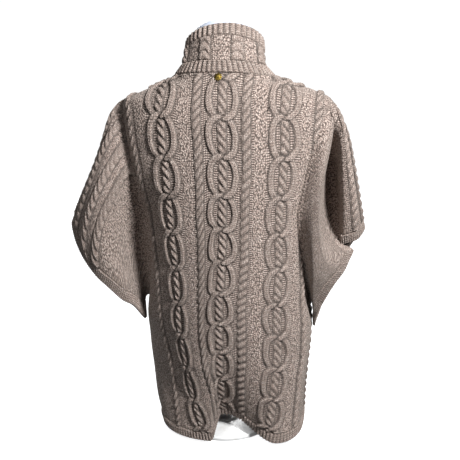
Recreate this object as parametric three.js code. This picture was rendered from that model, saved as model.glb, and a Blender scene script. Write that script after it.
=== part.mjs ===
// A chunky cable-knit cardigan with cape sleeves, standing on a limbless dress form.
// Millimetres. +Z is up, -Y is the garment's back and +X is its right-hand side seen from
// behind. The origin is the middle of the flat underside of the form's base.
//
// Every knitted piece is a wall cut from one of three surfaces: the body, whose level sections
// are rounded boxes with soft folds pressed into them; the sleeves, which run in rows from the
// armhole to the cuff; and the collar, which climbs from ring to ring.

import * as THREE from "three";

// ---------------------------------------------------------------- driving dimensions

const WALL = 3; // thickness of the knitted cloth
const SEAM = 0.4; // gap between two pieces at a seam
const TURNED_SEAM = 1.5; // gap where a sleeve or the collar turns away from the body
const HEM_Z = 10; // height of the hem above the floor
const HEM_RISE = 29; // how far the hem is drawn up in the deep fold at its middle
const HEM_BAND = 20; // height of the ribbed hem
const CUFF_BAND = 24; // width of the ribbed cuff
const FRONT_BAND = 26; // width of the ribbed band on each front edge
const FRONT_GAP_TOP = 9; // half the opening between the fronts at the neck
const FRONT_GAP_HEM = 30; // and at the hem
const LEVEL_SHOULDER = 690; // above this level the wales run straight up to the shoulder seam
const NECK_HALF = 101; // half width of the neck hole, and its levels behind, aside, in front
const NECK_BACK_Z = 757;
const NECK_SIDE_Z = 747;
const NECK_FRONT_Z = 722;
const COLLAR_OPEN = 7; // half the collar's opening in front, in degrees
const COLLAR_LEAN = 0.04; // the rim stands higher on the right, mm for each mm of width
const STUD = { z: 747, lean: 21, radius: 7.4, dome: 4.2, postRadius: 3, post: 4.6 };
const BASE = { radius: 102, height: 8, bevel: 2 };
const POLE = { radius: 12.5, flange: 30, flangeHeight: 10 };

// One row for each level of the body: half widths, how far forward of the middle each side is
// widest, depth of back and front, roundness (2 is an ellipse) and where the middle wale runs.
const BODY = table(
  ["z", "left", "right", "sideLeft", "sideRight", "back", "front",
    "roundLeft", "roundRight", "roundFront", "middle"],
  [
    [10, 133, 172, 4, 12, 126, 128, 2.4, 3.4, 2.5, 6],
    [60, 156, 173, 10, 14, 127, 132, 1.75, 2.8, 2.5, 8],
    [120, 166, 177, 16, 16, 126, 136, 1.45, 2.6, 2.5, 8],
    [180, 172, 183, 16, 18, 124, 140, 1.42, 2.4, 2.45, 8],
    [235, 174, 186, 10, 14, 121, 144, 1.6, 2.3, 2.4, 9],
    [300, 166, 178, 4, 8, 119, 148, 1.85, 2.2, 2.3, 9],
    [380, 158, 168, 0, 0, 117, 150, 2.05, 2.2, 2.25, 10],
    [456, 158, 165, 0, 0, 116, 149, 2.25, 2.25, 2.2, 10],
    [560, 192, 184, 0, 0, 113, 138, 2.25, 2.25, 2.2, 10],
    [620, 205, 202, 0, 0, 109, 124, 2.2, 2.2, 2.2, 10],
    [660, 210, 212, 0, 0, 104, 111, 2.15, 2.15, 2.15, 10],
    [685, 212, 216, 0, 0, 98, 99, 2.1, 2.1, 2.1, 9],
    [699, 210, 217, 0, 0, 94, 91, 2.05, 2.05, 2.05, 9],
    [711, 184, 205, 0, 0, 89, 85, 2, 2, 2, 9],
    [722, 158, 179, 0, 0, 85, 80, 2, 2, 2, 9],
    [735, 126, 140, 0, 0, 80, 76, 2, 2, 2, 8],
    [747, 101, 101, 0, 0, 75, 72, 2, 2, 2, 8],
    [757, 101, 101, 0, 0, 71, 69, 2, 2, 2, 8],
  ],
);

// One row for each soft fold of the back: where it lies, how wide and how steep it is on each
// side, how deep it is pressed in (a minus stands out), and the level where it is deepest with
// how far it reaches below and above that.
const FOLDS = table(
  ["x", "wideLeft", "steepLeft", "wideRight", "steepRight", "depth", "z", "below", "above"],
  [
    [10, 15, 8, 70, 2.2, 86, 8, 60, 300],
    [135, 45, 2, 35, 2, -8, 8, 60, 170],
    [-38, 34, 2, 30, 2, -10, 170, 160, 120],
  ],
);

// The armhole: the angle round the section from the middle of the back, and from the middle
// of the front, to the seam on each side. The side seam closes below the first level.
const ARMHOLE = table(
  ["z", "backLeft", "backRight", "frontLeft", "frontRight"],
  [
    [284, 90, 90, 90, 90],
    [308, 85, 85, 84, 84],
    [350, 79, 79, 78, 78],
    [410, 74, 74, 73, 73],
    [496, 70, 66, 66, 66],
    [560, 70, 66, 62, 62],
    [607, 74, 65, 61, 61],
    [660, 79, 67, 66, 66],
    [685, 83, 77, 74, 74],
    [699, 89, 89, 89, 89],
  ],
);

// One row for each line of a sleeve, from the underarm up the back, over the shoulder and down
// the front: the level where it leaves the armhole, on which panel (-1 back, 0 side, 1 front),
// a point under half way along, a lower one, the edge of the cuff, how much it puffs out over
// the shoulder, and how deep it dips forward into the valley beside the body.
const SLEEVE_COLUMNS = ["z", "panel", "midX", "midY", "midZ", "lowX", "lowY", "lowZ",
  "endX", "endY", "endZ", "puff", "dip"];
const LEFT_SLEEVE = table(SLEEVE_COLUMNS, [
  [284, 0, -175, 0, 264, -174, -6, 248, -171, -12, 230, 0, 0],
  [320, -1, -180, -26, 296, -185, -38, 280, -186, -44, 266, 0, 14],
  [385, -1, -184, -66, 345, -195, -74, 315, -206, -70, 286, 0, 50],
  [450, -1, -192, -90, 399, -214, -92, 351, -231, -79, 312, 0, 62],
  [520, -1, -205, -98, 453, -237, -98, 388, -260, -77, 338, 0, 42],
  [580, -1, -220, -95, 501, -262, -93, 427, -287, -68, 370, 0, 12],
  [630, -1, -236, -81, 548, -278, -80, 467, -306, -58, 402, 5, 0],
  [675, -1, -245, -53, 586, -288, -55, 500, -320, -40, 432, 10, 0],
  [699, 0, -248, -9, 601, -295, -11, 509, -328, -10, 440, 14, 0],
  [675, 1, -240, 41, 584, -289, 35, 497, -321, 25, 430, 10, 0],
  [620, 1, -226, 78, 528, -272, 72, 448, -305, 58, 394, 4, 0],
  [540, 1, -208, 90, 459, -249, 90, 393, -275, 78, 350, 0, 0],
  [450, 1, -190, 85, 389, -219, 89, 344, -240, 80, 314, 0, 0],
  [375, 1, -184, 62, 330, -194, 64, 298, -203, 54, 270, 0, 0],
  [312, 1, -179, 28, 284, -182, 24, 262, -182, 14, 244, 0, 0],
]);
const RIGHT_SLEEVE = table(SLEEVE_COLUMNS, [
  [284, 0, 184, 8, 261, 186, 8, 243, 187, 8, 226, 0, 0],
  [320, -1, 185, -32, 293, 189, -26, 274, 196, -18, 258, 0, 0],
  [385, -1, 182, -64, 352, 194, -48, 318, 213, -30, 297, 0, 8],
  [460, -1, 183, -78, 415, 203, -60, 352, 232, -32, 332, 0, 4],
  [540, -1, 189, -82, 475, 212, -64, 383, 250, -26, 358, 0, 0],
  [610, -1, 198, -79, 530, 209, -66, 404, 260, -16, 380, 0, 0],
  [655, -1, 206, -63, 560, 206, -60, 430, 267, -4, 397, 0, 0],
  [676, -1, 209, -24, 575, 203, -26, 440, 261, 12, 401, 2, 0],
  [688, -1, 212, 58, 580, 212, 64, 455, 243, 24, 403, 8, -34],
  [695, -1, 226, 66, 585, 231, 68, 478, 238, 32, 401, 8, -40],
  [699, -1, 231, -2, 590, 240, 4, 485, 245, 28, 401, 7, -8],
  [699, 0, 246, -8, 600, 265, 2, 500, 275, 28, 413, 5, -4],
  [695, 1, 252, 30, 602, 273, 38, 508, 289, 52, 431, 3, 0],
  [660, 1, 246, 68, 560, 264, 76, 465, 276, 82, 412, 2, 0],
  [580, 1, 228, 88, 500, 244, 94, 412, 252, 92, 368, 0, 0],
  [480, 1, 206, 90, 425, 220, 90, 352, 230, 84, 320, 0, 0],
  [375, 1, 190, 72, 338, 200, 72, 298, 206, 66, 272, 0, 0],
  [312, 1, 184, 32, 280, 189, 30, 256, 192, 26, 238, 0, 0],
]);

// One row for each ring of the collar above the neck seam: half widths, depths and heights.
const RINGS = table(
  ["level", "left", "right", "back", "front", "backZ", "sideZ", "frontZ"],
  [
    [1, 86, 84, -70, 72, 780, 764, 742],
    [2, 82, 78, -56, 78, 827, 792, 764],
    [3, 81, 75, -46, 80, 849, 812, 782],
  ],
);

// One row for each ring of the dress form: its middle, half width, half depth, height and how
// much higher it stands at the back than in the middle.
const FORM = table(
  ["step", "y", "halfWidth", "halfDepth", "z", "tilt", "round"],
  [
    [0, 6, 98, 76, 236, 0, 2.1],
    [1, 6, 106, 82, 246, 0, 2.1],
    [2, 8, 124, 92, 300, 0, 2.15],
    [3, 8, 116, 86, 380, 0, 2.15],
    [4, 8, 120, 88, 470, 0, 2.15],
    [5, 8, 138, 98, 560, 0, 2.15],
    [6, 4, 160, 96, 620, 0, 2.15],
    [7, 2, 176, 90, 660, 0, 2.1],
    [8, 0, 180, 82, 680, 0, 2.1],
    [9, -1, 170, 76, 696, 0, 2],
    [10, -1, 146, 72, 708, 0, 2],
    [11, -1, 116, 68, 722, 0, 2],
    [12, -1, 88, 64, 734, 2, 2],
    [13, 0, 73, 61, 745, 8, 2],
    [14, 4, 68, 58, 762, 14, 2],
    [15, 12, 66, 56, 790, 20, 2],
    [16, 17, 66, 55, 811, 26, 2],
  ],
);
const CAP = { y: 18, halfWidth: 66, halfDepth: 55, z: 813, tilt: 27, rise: 34, steps: 6 };

// Where the facets of the panels meet the shoulder seam or the neck hole, out from the middle:
// closer together at the side of the neck, where the edge turns.
const WALES = [0, 16, 32, 48, 63, 76, 88, 96.5, 100.8, 108, 121, 137, 153, 169, 185, 198];

// How finely each piece is faceted.
const GRID = {
  panel: 18, band: [1, 18], hem: 1, sleeve: [40, 8], cuff: 1,
  collar: [24, 1], stud: 16, formSides: 32, formRows: 20, base: 48, pole: 24,
};

// ---------------------------------------------------------------- tables and curves

function table(columns, rows) {
  const entries = columns.map((name, i) => [name, rows.map((row) => row[i])]);
  return { key: columns[0], rows: rows.length, ...Object.fromEntries(entries) };
}

// The column `name` at `q` of the table's first column, on a smooth curve with no overshoot.
function lookUp(t, name, q) {
  const x = t[t.key];
  const y = t[name];
  const last = x.length - 1;
  const at = Math.min(Math.max(q, x[0]), x[last]);
  let i = 0;
  while (i < last - 1 && at > x[i + 1]) i += 1;
  const h = x[i + 1] - x[i];
  const u = (at - x[i]) / h;
  const startSlope = slopeAt(x, y, i);
  const endSlope = slopeAt(x, y, i + 1);
  return (1 + 2 * u) * (1 - u) ** 2 * y[i] + u * (1 - u) ** 2 * h * startSlope
    + u * u * (3 - 2 * u) * y[i + 1] + u * u * (u - 1) * h * endSlope;
}

function slopeAt(x, y, i) {
  const slope = (k) => (y[k + 1] - y[k]) / (x[k + 1] - x[k]);
  if (i === 0) return slope(0);
  if (i === x.length - 1) return slope(i - 1);
  const before = slope(i - 1);
  const after = slope(i);
  if (before * after <= 0) return 0;
  const hb = x[i] - x[i - 1];
  const ha = x[i + 1] - x[i];
  return (3 * (hb + ha)) / ((2 * ha + hb) / before + (ha + 2 * hb) / after);
}

const signedPower = (v, p) => Math.sign(v) * Math.abs(v) ** p;
const radians = (degrees) => (degrees * Math.PI) / 180;
const mix = (a, b, u) => a + (b - a) * u;
const counted = (steps, make) => (
  Array.from({ length: steps + 1 }, (_, i) => make(i / steps, i)));

// Points of a polyline at equal or given distances along it.
function measured(points) {
  const length = [0];
  for (let i = 1; i < points.length; i += 1) {
    length.push(length[i - 1] + points[i].distanceTo(points[i - 1]));
  }
  return { points, length, total: length[length.length - 1] };
}

function along(line, distance) {
  const { points, length } = line;
  let lo = 0;
  let hi = length.length - 1;
  while (hi - lo > 1) {
    const middle = (lo + hi) >> 1;
    if (length[middle] <= distance) lo = middle;
    else hi = middle;
  }
  const span = length[hi] - length[lo];
  const u = span > 0 ? (distance - length[lo]) / span : 0;
  return points[lo].clone().lerp(points[hi], u);
}

// ---------------------------------------------------------------- the body's surface

// How far the back is pressed in at x on level z.
function pressed(x, z) {
  let sum = 0;
  for (let i = 0; i < FOLDS.rows; i += 1) {
    const reach = z < FOLDS.z[i] ? FOLDS.below[i] : FOLDS.above[i];
    const away = Math.abs(z - FOLDS.z[i]) / reach;
    const q = x - FOLDS.x[i];
    const wide = q < 0 ? FOLDS.wideLeft[i] : FOLDS.wideRight[i];
    const steep = q < 0 ? FOLDS.steepLeft[i] : FOLDS.steepRight[i];
    if (away < 1) {
      sum += FOLDS.depth[i] * (1 - away) ** 2 * Math.exp(-(Math.abs(q / wide) ** steep));
    }
  }
  return sum;
}

// Point at `degrees` round the level z: 0 is the middle of the back, minus goes left, +-180
// is the middle of the front.
function bodyAt(degrees, z) {
  const s = Math.sin(radians(degrees));
  const c = Math.cos(radians(degrees));
  const of = (name) => lookUp(BODY, name, z);
  const left = s < 0;
  const side = of(left ? "sideLeft" : "sideRight");
  if (c < 0) {
    const round = 2 / of("roundFront");
    const x = of(left ? "left" : "right") * signedPower(s, round);
    return new THREE.Vector3(x, side + (of("front") - side) * Math.abs(c) ** round, z);
  }
  const round = 2 / of(left ? "roundLeft" : "roundRight");
  const x = of(left ? "left" : "right") * signedPower(s, round);
  const y = side - (side + of("back")) * c ** round;
  return new THREE.Vector3(x, y + pressed(x, z) * Math.min(1, 3 * c), z);
}

// Height of the shoulder seam, or of the neck hole, over x on one panel.
function topLevel(x, panel) {
  if (Math.abs(x) <= NECK_HALF) {
    const dip = Math.sqrt(1 - (x / NECK_HALF) ** 2);
    return mix(NECK_SIDE_Z, panel < 0 ? NECK_BACK_Z : NECK_FRONT_Z, dip);
  }
  const name = x < 0 ? "left" : "right";
  let lo = 695;
  let hi = NECK_SIDE_Z;
  for (let i = 0; i < 30; i += 1) {
    const z = (lo + hi) / 2;
    if (lookUp(BODY, name, z) > Math.abs(x)) lo = z;
    else hi = z;
  }
  return lo;
}

// Point over x on a level above the shoulder line.
function shoulderAt(x, z, panel) {
  const half = lookUp(BODY, x < 0 ? "left" : "right", z);
  const depth = lookUp(BODY, panel < 0 ? "back" : "front", z);
  const round = lookUp(BODY, panel > 0 ? "roundFront" : x < 0 ? "roundLeft" : "roundRight", z);
  const y = depth * Math.max(0, 1 - (Math.abs(x) / half) ** round) ** (1 / round);
  return new THREE.Vector3(x, panel * Math.max(y, SEAM / 2), z);
}

// The line round level z from `from` to `to` degrees, and a little past both, measured.
// `start` and `end` are the distances of `from` and `to` along it.
function levelLine(z, from, to) {
  const steps = 120;
  const past = 6; // steps beyond each end
  const points = [];
  for (let i = -past; i <= steps + past; i += 1) points.push(bodyAt(mix(from, to, i / steps), z));
  const line = measured(points);
  return { ...line, start: line.length[past], end: line.length[past + steps] };
}

// A panel of the body is a set of columns from the hem to the top. `share` runs from 0 at the
// panel's first edge to 1 at its last one.
function backPlace(share, z) {
  const line = levelLine(z, -lookUp(ARMHOLE, "backLeft", z), lookUp(ARMHOLE, "backRight", z));
  return along(line, mix(line.start + SEAM, line.end - SEAM, share));
}

function frontGap(z) {
  const up = Math.min(1, Math.max(0, (z - HEM_Z) / (NECK_FRONT_Z - HEM_Z)));
  return mix(FRONT_GAP_HEM, FRONT_GAP_TOP, up ** 0.8);
}

function frontPlace(hand, share, z) {
  const edge = 180 - lookUp(ARMHOLE, hand < 0 ? "frontLeft" : "frontRight", z);
  const line = levelLine(z, hand * 180, hand * edge);
  const first = line.start + frontGap(z) + FRONT_BAND + SEAM;
  return along(line, mix(first, line.end - SEAM, share));
}

// A point on the front band, `across` mm from the front opening.
function bandPlace(hand, across, z) {
  const line = levelLine(z, hand * 180, hand * 120);
  return along(line, line.start + frontGap(z) + across);
}

// The shares at which a panel's columns reach the shoulder over the given wales, between 0
// and 1, with one more beyond each end. `reach` is how far out the shoulder is at a share.
function panelShares(wales, reach) {
  const shares = wales.map((wale) => {
    let low = 0;
    let high = 1;
    for (let i = 0; i < 30; i += 1) {
      const middle = (low + high) / 2;
      if (reach(middle) < wale) low = middle;
      else high = middle;
    }
    return low;
  });
  const before = -shares[0];
  const after = 2 - shares[shares.length - 1];
  return [before, 0, ...shares, 1, after];
}

function column(place, panel) {
  const points = [];
  const low = place(HEM_Z);
  const deepest = FOLDS.depth[0];
  const rise = panel < 0 ? (HEM_RISE * Math.max(0, pressed(low.x, HEM_Z))) / deepest : 0;
  const steps = 70;
  for (let i = 0; i < steps; i += 1) {
    points.push(place(mix(HEM_Z + rise, LEVEL_SHOULDER, i / steps)));
  }
  const { x } = place(LEVEL_SHOULDER);
  const top = topLevel(x, panel);
  const upper = 24;
  points.push(place(LEVEL_SHOULDER));
  for (let i = 1; i <= upper; i += 1) {
    const z = mix(LEVEL_SHOULDER, top, Math.sin((i / upper) * (Math.PI / 2)));
    points.push(shoulderAt(x, z, panel));
  }
  const s = Math.max(-1, Math.min(1, x / NECK_HALF));
  return { ...measured(points), topNormal: neckNormal(s, -panel * Math.sqrt(1 - s * s)) };
}

// ---------------------------------------------------------------- the sleeves and the collar

function armholeAngle(z, hand, panel) {
  const angle = (name) => lookUp(ARMHOLE, name, z);
  if (panel === 0) return hand * 90;
  if (panel < 0) return hand * angle(hand < 0 ? "backLeft" : "backRight");
  return hand * (180 - angle(hand < 0 ? "frontLeft" : "frontRight"));
}

function bodyNormal(degrees, z) {
  const across = bodyAt(degrees + 2, z).sub(bodyAt(degrees - 2, z));
  const up = bodyAt(degrees, z + 2).sub(bodyAt(degrees, z - 2));
  return across.cross(up).normalize();
}

// A closed curve through the rows' points, smooth from row to row.
function catmullRom(p, t) {
  const n = p.length;
  const i = Math.floor(t);
  const u = t - i;
  const [a, b, c, d] = [-1, 0, 1, 2].map((k) => p[(i + k + n) % n]);
  const weights = [
    0.5 * (-u + 2 * u * u - u ** 3),
    0.5 * (2 - 5 * u * u + 3 * u ** 3),
    0.5 * (u + 4 * u * u - 3 * u ** 3),
    0.5 * (-u * u + u ** 3),
  ];
  const sum = new THREE.Vector3();
  [a, b, c, d].forEach((point, k) => sum.addScaledVector(point, weights[k]));
  return sum;
}

const rowPoints = (rows, name) => (
  counted(rows.rows - 1, (_, i) => new THREE.Vector3(
    rows[`${name}X`][i], rows[`${name}Y`][i], rows[`${name}Z`][i])));

// Where the armhole's edge lies `t` rows round it: the angle round the body and the level.
function armholeAt(rows, hand, t) {
  const i = Math.floor(t) % rows.rows;
  const k = (i + 1) % rows.rows;
  const share = t - Math.floor(t);
  const panel = rows.panel[i] || rows.panel[k];
  const levels = Array.from(rows.z, (level) => new THREE.Vector3(level, 0, 0));
  const z = Math.min(Math.max(catmullRom(levels, t).x, rows.z[0]), Math.max(...rows.z));
  const turned = (row) => (rows.panel[row] === 0
    ? armholeAngle(rows.z[row], hand, 0) - armholeAngle(rows.z[row], hand, panel) : 0);
  const angle = armholeAngle(z, hand, panel) + mix(turned(i), turned(k), share);
  return { angle, z };
}

// The sleeve's lines from the armhole to the edge of the cuff, spread evenly round its middle.
function sleeveLines(rows, hand, count) {
  const puff = [];
  const dip = [];
  for (let i = 0; i < rows.rows; i += 1) {
    puff.push(new THREE.Vector3(hand, 0, 0.6).multiplyScalar(rows.puff[i]));
    dip.push(new THREE.Vector3(0.35 * hand, 1, 0).multiplyScalar(rows.dip[i]));
  }
  const guides = ["mid", "low", "end"].map((name) => rowPoints(rows, name));
  const perRow = 20;
  const loop = measured(counted(perRow * rows.rows, (share) => (
    catmullRom(guides[1], (share * rows.rows) % rows.rows))));
  const lines = [];
  for (let k = 0; k < count; k += 1) {
    const distance = (k / count) * loop.total;
    let i = 0;
    while (loop.length[i + 1] < distance) i += 1;
    const share = (distance - loop.length[i]) / (loop.length[i + 1] - loop.length[i]);
    const t = ((i + share) / perRow) % rows.rows;
    const { angle, z } = armholeAt(rows, hand, t);
    const through = [bodyAt(angle, z), ...guides.map((points) => catmullRom(points, t))];
    const line = measured(sleeveLine(through, catmullRom(puff, t), catmullRom(dip, t)));
    lines.push({ ...line, rootNormal: bodyNormal(angle, z) });
  }
  return lines;
}

// A smooth line through four points, which stand at these shares of it.
const GUIDE_SHARES = [0, 0.4, 0.75, 1];
const PUFF_CREST = 0.15; // share of the line where the puff is fullest
const DIP_CREST = 0.2;

const swell = (u, crest) => (u / crest) * Math.exp(1 - u / crest);

function sleeveLine(through, puff, dip) {
  return counted(60, (u) => {
    const point = new THREE.Vector3();
    through.forEach((guide, i) => {
      let weight = 1;
      GUIDE_SHARES.forEach((share, j) => {
        if (j !== i) weight *= (u - share) / (GUIDE_SHARES[i] - share);
      });
      point.addScaledVector(guide, weight);
    });
    return point.addScaledVector(puff, swell(u, PUFF_CREST)).addScaledVector(dip, swell(u, DIP_CREST));
  });
}

// The collar at `degrees` round from the nape, at level 0 (neck seam) to 3 (rim).
function collarAt(degrees, level) {
  const s = Math.sin(radians(degrees));
  const c = Math.cos(radians(degrees));
  if (level <= 0) return neckAt(s, c);
  if (level < 1) return neckAt(s, c).lerp(collarAt(degrees, 1), level);
  const of = (name) => lookUp(RINGS, name, level);
  const z = (of("backZ") + 2 * of("sideZ") + of("frontZ")) / 4
    + ((of("backZ") - of("frontZ")) / 2) * c
    + ((of("backZ") - 2 * of("sideZ") + of("frontZ")) / 4) * Math.cos(radians(2 * degrees));
  const y = mix(of("front"), of("back"), (1 + c) / 2);
  const x = of(s < 0 ? "left" : "right") * s;
  return new THREE.Vector3(x, y, z + COLLAR_LEAN * x * (level - 1));
}

// Round the neck hole the body faces backwards, forwards and, on the shoulders, mostly up.
const neckNormal = (s, c) => new THREE.Vector3(0.4 * s, -0.93 * c, 0.37 + 0.55 * s * s).normalize();

function neckAt(s, c) {
  const x = NECK_HALF * s;
  const panel = c > 0 ? -1 : 1;
  return shoulderAt(x, topLevel(x, panel), panel);
}

// ---------------------------------------------------------------- walls

// The lines of an open strip: one for each step, and one past each edge that only shows which
// way the surface goes on.
const openLines = (steps, make) => (
  Array.from({ length: steps + 3 }, (_, i) => make((i - 1) / steps)));

// Rows of points between two distances along each line, each with the surface's outward
// normal. The lines follow each other to the right, seen from outside with their ends up. A
// line that is sewn to another surface brings a normal for its first or last point, so that
// both walls end along one face.
function strip(lines, wrap, steps, span) {
  const count = lines.length;
  const neighbour = (i) => lines[(i + count) % count];
  const distance = (line, u) => mix(...span(line), u);
  const nudge = 4; // mm on each side of a point, to find the way up
  const rows = lines.map((line, i) => counted(steps, (u) => {
    const d = distance(line, u);
    const before = neighbour(i - 1);
    const after = neighbour(i + 1);
    const across = along(after, distance(after, u)).sub(along(before, distance(before, u)));
    const up = along(line, Math.min(d + nudge, line.total));
    up.sub(along(line, Math.max(d - nudge, 0)));
    const sewn = (u === 0 && line.rootNormal) || (u === 1 && line.topNormal);
    return { point: along(line, d), normal: sewn || across.cross(up).normalize() };
  }));
  return wrap ? rows : rows.slice(1, -1);
}

// A closed wall of cloth behind a strip.
function wall(rows, wrap, thickness = WALL) {
  const m = rows.length;
  const n = rows[0].length;
  const outer = rows.map((row) => row.map(({ point }) => point));
  const inner = rows.map((row) => row.map(({ point, normal }) => (
    point.clone().addScaledVector(normal, -thickness))));
  const triangles = [];
  const quad = (a, b, c, d) => triangles.push(a, b, c, a, c, d);
  const lastRow = wrap ? m : m - 1;
  for (let i = 0; i < lastRow; i += 1) {
    const k = (i + 1) % m;
    for (let j = 0; j < n - 1; j += 1) {
      quad(outer[i][j], outer[k][j], outer[k][j + 1], outer[i][j + 1]);
      quad(inner[i][j], inner[i][j + 1], inner[k][j + 1], inner[k][j]);
    }
    quad(outer[i][0], inner[i][0], inner[k][0], outer[k][0]);
    quad(outer[i][n - 1], outer[k][n - 1], inner[k][n - 1], inner[i][n - 1]);
  }
  if (!wrap) {
    for (let j = 0; j < n - 1; j += 1) {
      quad(outer[0][j], outer[0][j + 1], inner[0][j + 1], inner[0][j]);
      quad(outer[m - 1][j], inner[m - 1][j], inner[m - 1][j + 1], outer[m - 1][j + 1]);
    }
  }
  return soup(triangles);
}

function soup(points) {
  const geometry = new THREE.BufferGeometry();
  const flat = points.flatMap((p) => [p.x, p.y, p.z]);
  geometry.setAttribute("position", new THREE.Float32BufferAttribute(flat, 3));
  return geometry;
}

// ---------------------------------------------------------------- pieces

const heather = (name, colour) => {
  const material = new THREE.MeshStandardMaterial({ color: colour, roughness: 0.95 });
  material.name = name;
  return material;
};
const KNIT = heather("cable_knit", 0x9c8f86);
const RIB = heather("rib_knit", 0x94877e);
const BRASS = new THREE.MeshStandardMaterial({ color: 0x7a6a2c, roughness: 0.4, metalness: 1 });
const SHELL = new THREE.MeshStandardMaterial({ color: 0xe9edf4, roughness: 0.45 });
const STEEL = new THREE.MeshStandardMaterial({ color: 0xf2f3f5, roughness: 0.4, metalness: 0.1 });

function add(group, name, geometry, material) {
  const mesh = new THREE.Mesh(geometry, material);
  mesh.name = name;
  group.add(mesh);
}

const hemBand = () => [0, HEM_BAND];
const aboveHem = (line) => [HEM_BAND + SEAM, line.total - SEAM];

function addPanel(group, name, columns) {
  add(group, name, wall(strip(columns, false, GRID.panel, aboveHem), false), KNIT);
  const free = columns.map((line) => ({ ...line, topNormal: null }));
  add(group, `hem_${name}`, wall(strip(free, false, GRID.hem, hemBand), false), RIB);
}

function addBack(group) {
  const wales = [...WALES.slice(1).map((x) => -x).reverse(), ...WALES];
  const shares = panelShares(wales, (share) => backPlace(share, LEVEL_SHOULDER).x);
  addPanel(group, "back", shares.map((share) => column((z) => backPlace(share, z), -1)));
}

function addFront(group, hand, name) {
  const outwards = (list) => (hand < 0 ? list : list.reverse());
  const wales = WALES.filter((x) => x > FRONT_GAP_TOP + FRONT_BAND + 6);
  const shares = panelShares(wales, (share) => hand * frontPlace(hand, share, LEVEL_SHOULDER).x);
  addPanel(group, `front_${name}`,
    outwards(shares.map((share) => column((z) => frontPlace(hand, share, z), 1))));
  const band = outwards(openLines(GRID.band[0],
    (share) => column((z) => bandPlace(hand, share * FRONT_BAND, z), 1)));
  const whole = (line) => [0, line.total - SEAM];
  add(group, `front_band_${name}`, wall(strip(band, false, GRID.band[1], whole), false), RIB);
}

function addSleeve(group, rows, hand, name) {
  const lines = sleeveLines(rows, hand, GRID.sleeve[0]);
  if (hand > 0) lines.reverse();
  const panel = strip(lines, true, GRID.sleeve[1],
    (line) => [TURNED_SEAM, line.total - CUFF_BAND - 3 * SEAM]);
  add(group, `sleeve_${name}`, wall(panel, true), KNIT);
  const free = lines.map((line) => ({ ...line, rootNormal: null }));
  const cuff = strip(free, true, GRID.cuff, (line) => [line.total - CUFF_BAND, line.total]);
  add(group, `cuff_${name}`, wall(cuff, true), RIB);
}

function addCollar(group) {
  const round = 180 - COLLAR_OPEN;
  const fine = 10; // points on a line for each level
  const lines = openLines(GRID.collar[0], (share) => {
    const degrees = mix(-round, round, share);
    const line = measured(counted(3 * fine, (up) => collarAt(degrees, 3 * up)));
    const rootNormal = neckNormal(Math.sin(radians(degrees)), Math.cos(radians(degrees)));
    return { ...line, rootNormal };
  });
  const pieces = [["collar_base_rib", RIB], ["collar", KNIT], ["collar_top_rib", RIB]];
  pieces.forEach(([name, material], level) => {
    const gap = level === 0 ? TURNED_SEAM : SEAM;
    const span = (line) => [line.length[level * fine] + gap, line.length[(level + 1) * fine]];
    const sewn = level === 0 ? lines : lines.map((line) => ({ ...line, rootNormal: null }));
    add(group, name, wall(strip(sewn, false, GRID.collar[1], span), false), material);
  });
}

function addStud(group) {
  const { z, lean, radius, dome, postRadius, post } = STUD;
  const here = shoulderAt(0, z, -1);
  const profile = [new THREE.Vector2(0, SEAM), new THREE.Vector2(postRadius, SEAM),
    new THREE.Vector2(postRadius, post), new THREE.Vector2(radius, post)];
  for (let i = 1; i < 6; i += 1) {
    const angle = (i / 6) * (Math.PI / 2);
    profile.push(new THREE.Vector2(radius * Math.cos(angle), post + dome * Math.sin(angle)));
  }
  profile.push(new THREE.Vector2(0, post + dome));
  const geometry = new THREE.LatheGeometry(profile, GRID.stud);
  geometry.rotateX(Math.PI - radians(lean));
  geometry.translate(here.x, here.y, here.z);
  add(group, "neck_stud", geometry, BRASS);
}

// A ring of the form at a step of its table.
function formRing(step) {
  const of = (name) => lookUp(FORM, name, step);
  const ring = [];
  for (let i = 0; i < GRID.formSides; i += 1) {
    const angle = (i / GRID.formSides) * 2 * Math.PI;
    const s = signedPower(Math.sin(angle), 2 / of("round"));
    const c = signedPower(Math.cos(angle), 2 / of("round"));
    ring.push(new THREE.Vector3(of("halfWidth") * s, of("y") - of("halfDepth") * c,
      of("z") + of("tilt") * c));
  }
  return ring;
}

// A closed solid through rings, with a fan on each end.
function lofted(rings) {
  const triangles = [];
  const n = rings[0].length;
  const middle = (ring) => ring.reduce((sum, p) => sum.add(p), new THREE.Vector3())
    .divideScalar(n);
  for (let k = 0; k < rings.length - 1; k += 1) {
    for (let i = 0; i < n; i += 1) {
      const j = (i + 1) % n;
      triangles.push(rings[k][i], rings[k][j], rings[k + 1][j]);
      triangles.push(rings[k][i], rings[k + 1][j], rings[k + 1][i]);
    }
  }
  const bottom = middle(rings[0]);
  const top = middle(rings[rings.length - 1]);
  for (let i = 0; i < n; i += 1) {
    const j = (i + 1) % n;
    triangles.push(bottom, rings[0][j], rings[0][i]);
    triangles.push(top, rings[rings.length - 1][i], rings[rings.length - 1][j]);
  }
  return soup(triangles);
}

function addForm(group) {
  const last = FORM.rows - 1;
  const rings = counted(GRID.formRows, (share) => formRing(share * last));
  add(group, "form_torso", lofted(rings), SHELL);
  const { y, halfWidth, halfDepth, z, tilt, rise, steps } = CAP;
  const dome = counted(steps, (share) => {
    const angle = share * radians(80);
    const shrink = Math.cos(angle);
    const ring = [];
    for (let i = 0; i < GRID.formSides; i += 1) {
      const turn = (i / GRID.formSides) * 2 * Math.PI;
      ring.push(new THREE.Vector3(halfWidth * shrink * Math.sin(turn),
        y - halfDepth * shrink * Math.cos(turn),
        z + SEAM + tilt * shrink * Math.cos(turn) + rise * Math.sin(angle)));
    }
    return ring;
  });
  add(group, "form_neck_cap", lofted(dome), SHELL);
}

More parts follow.
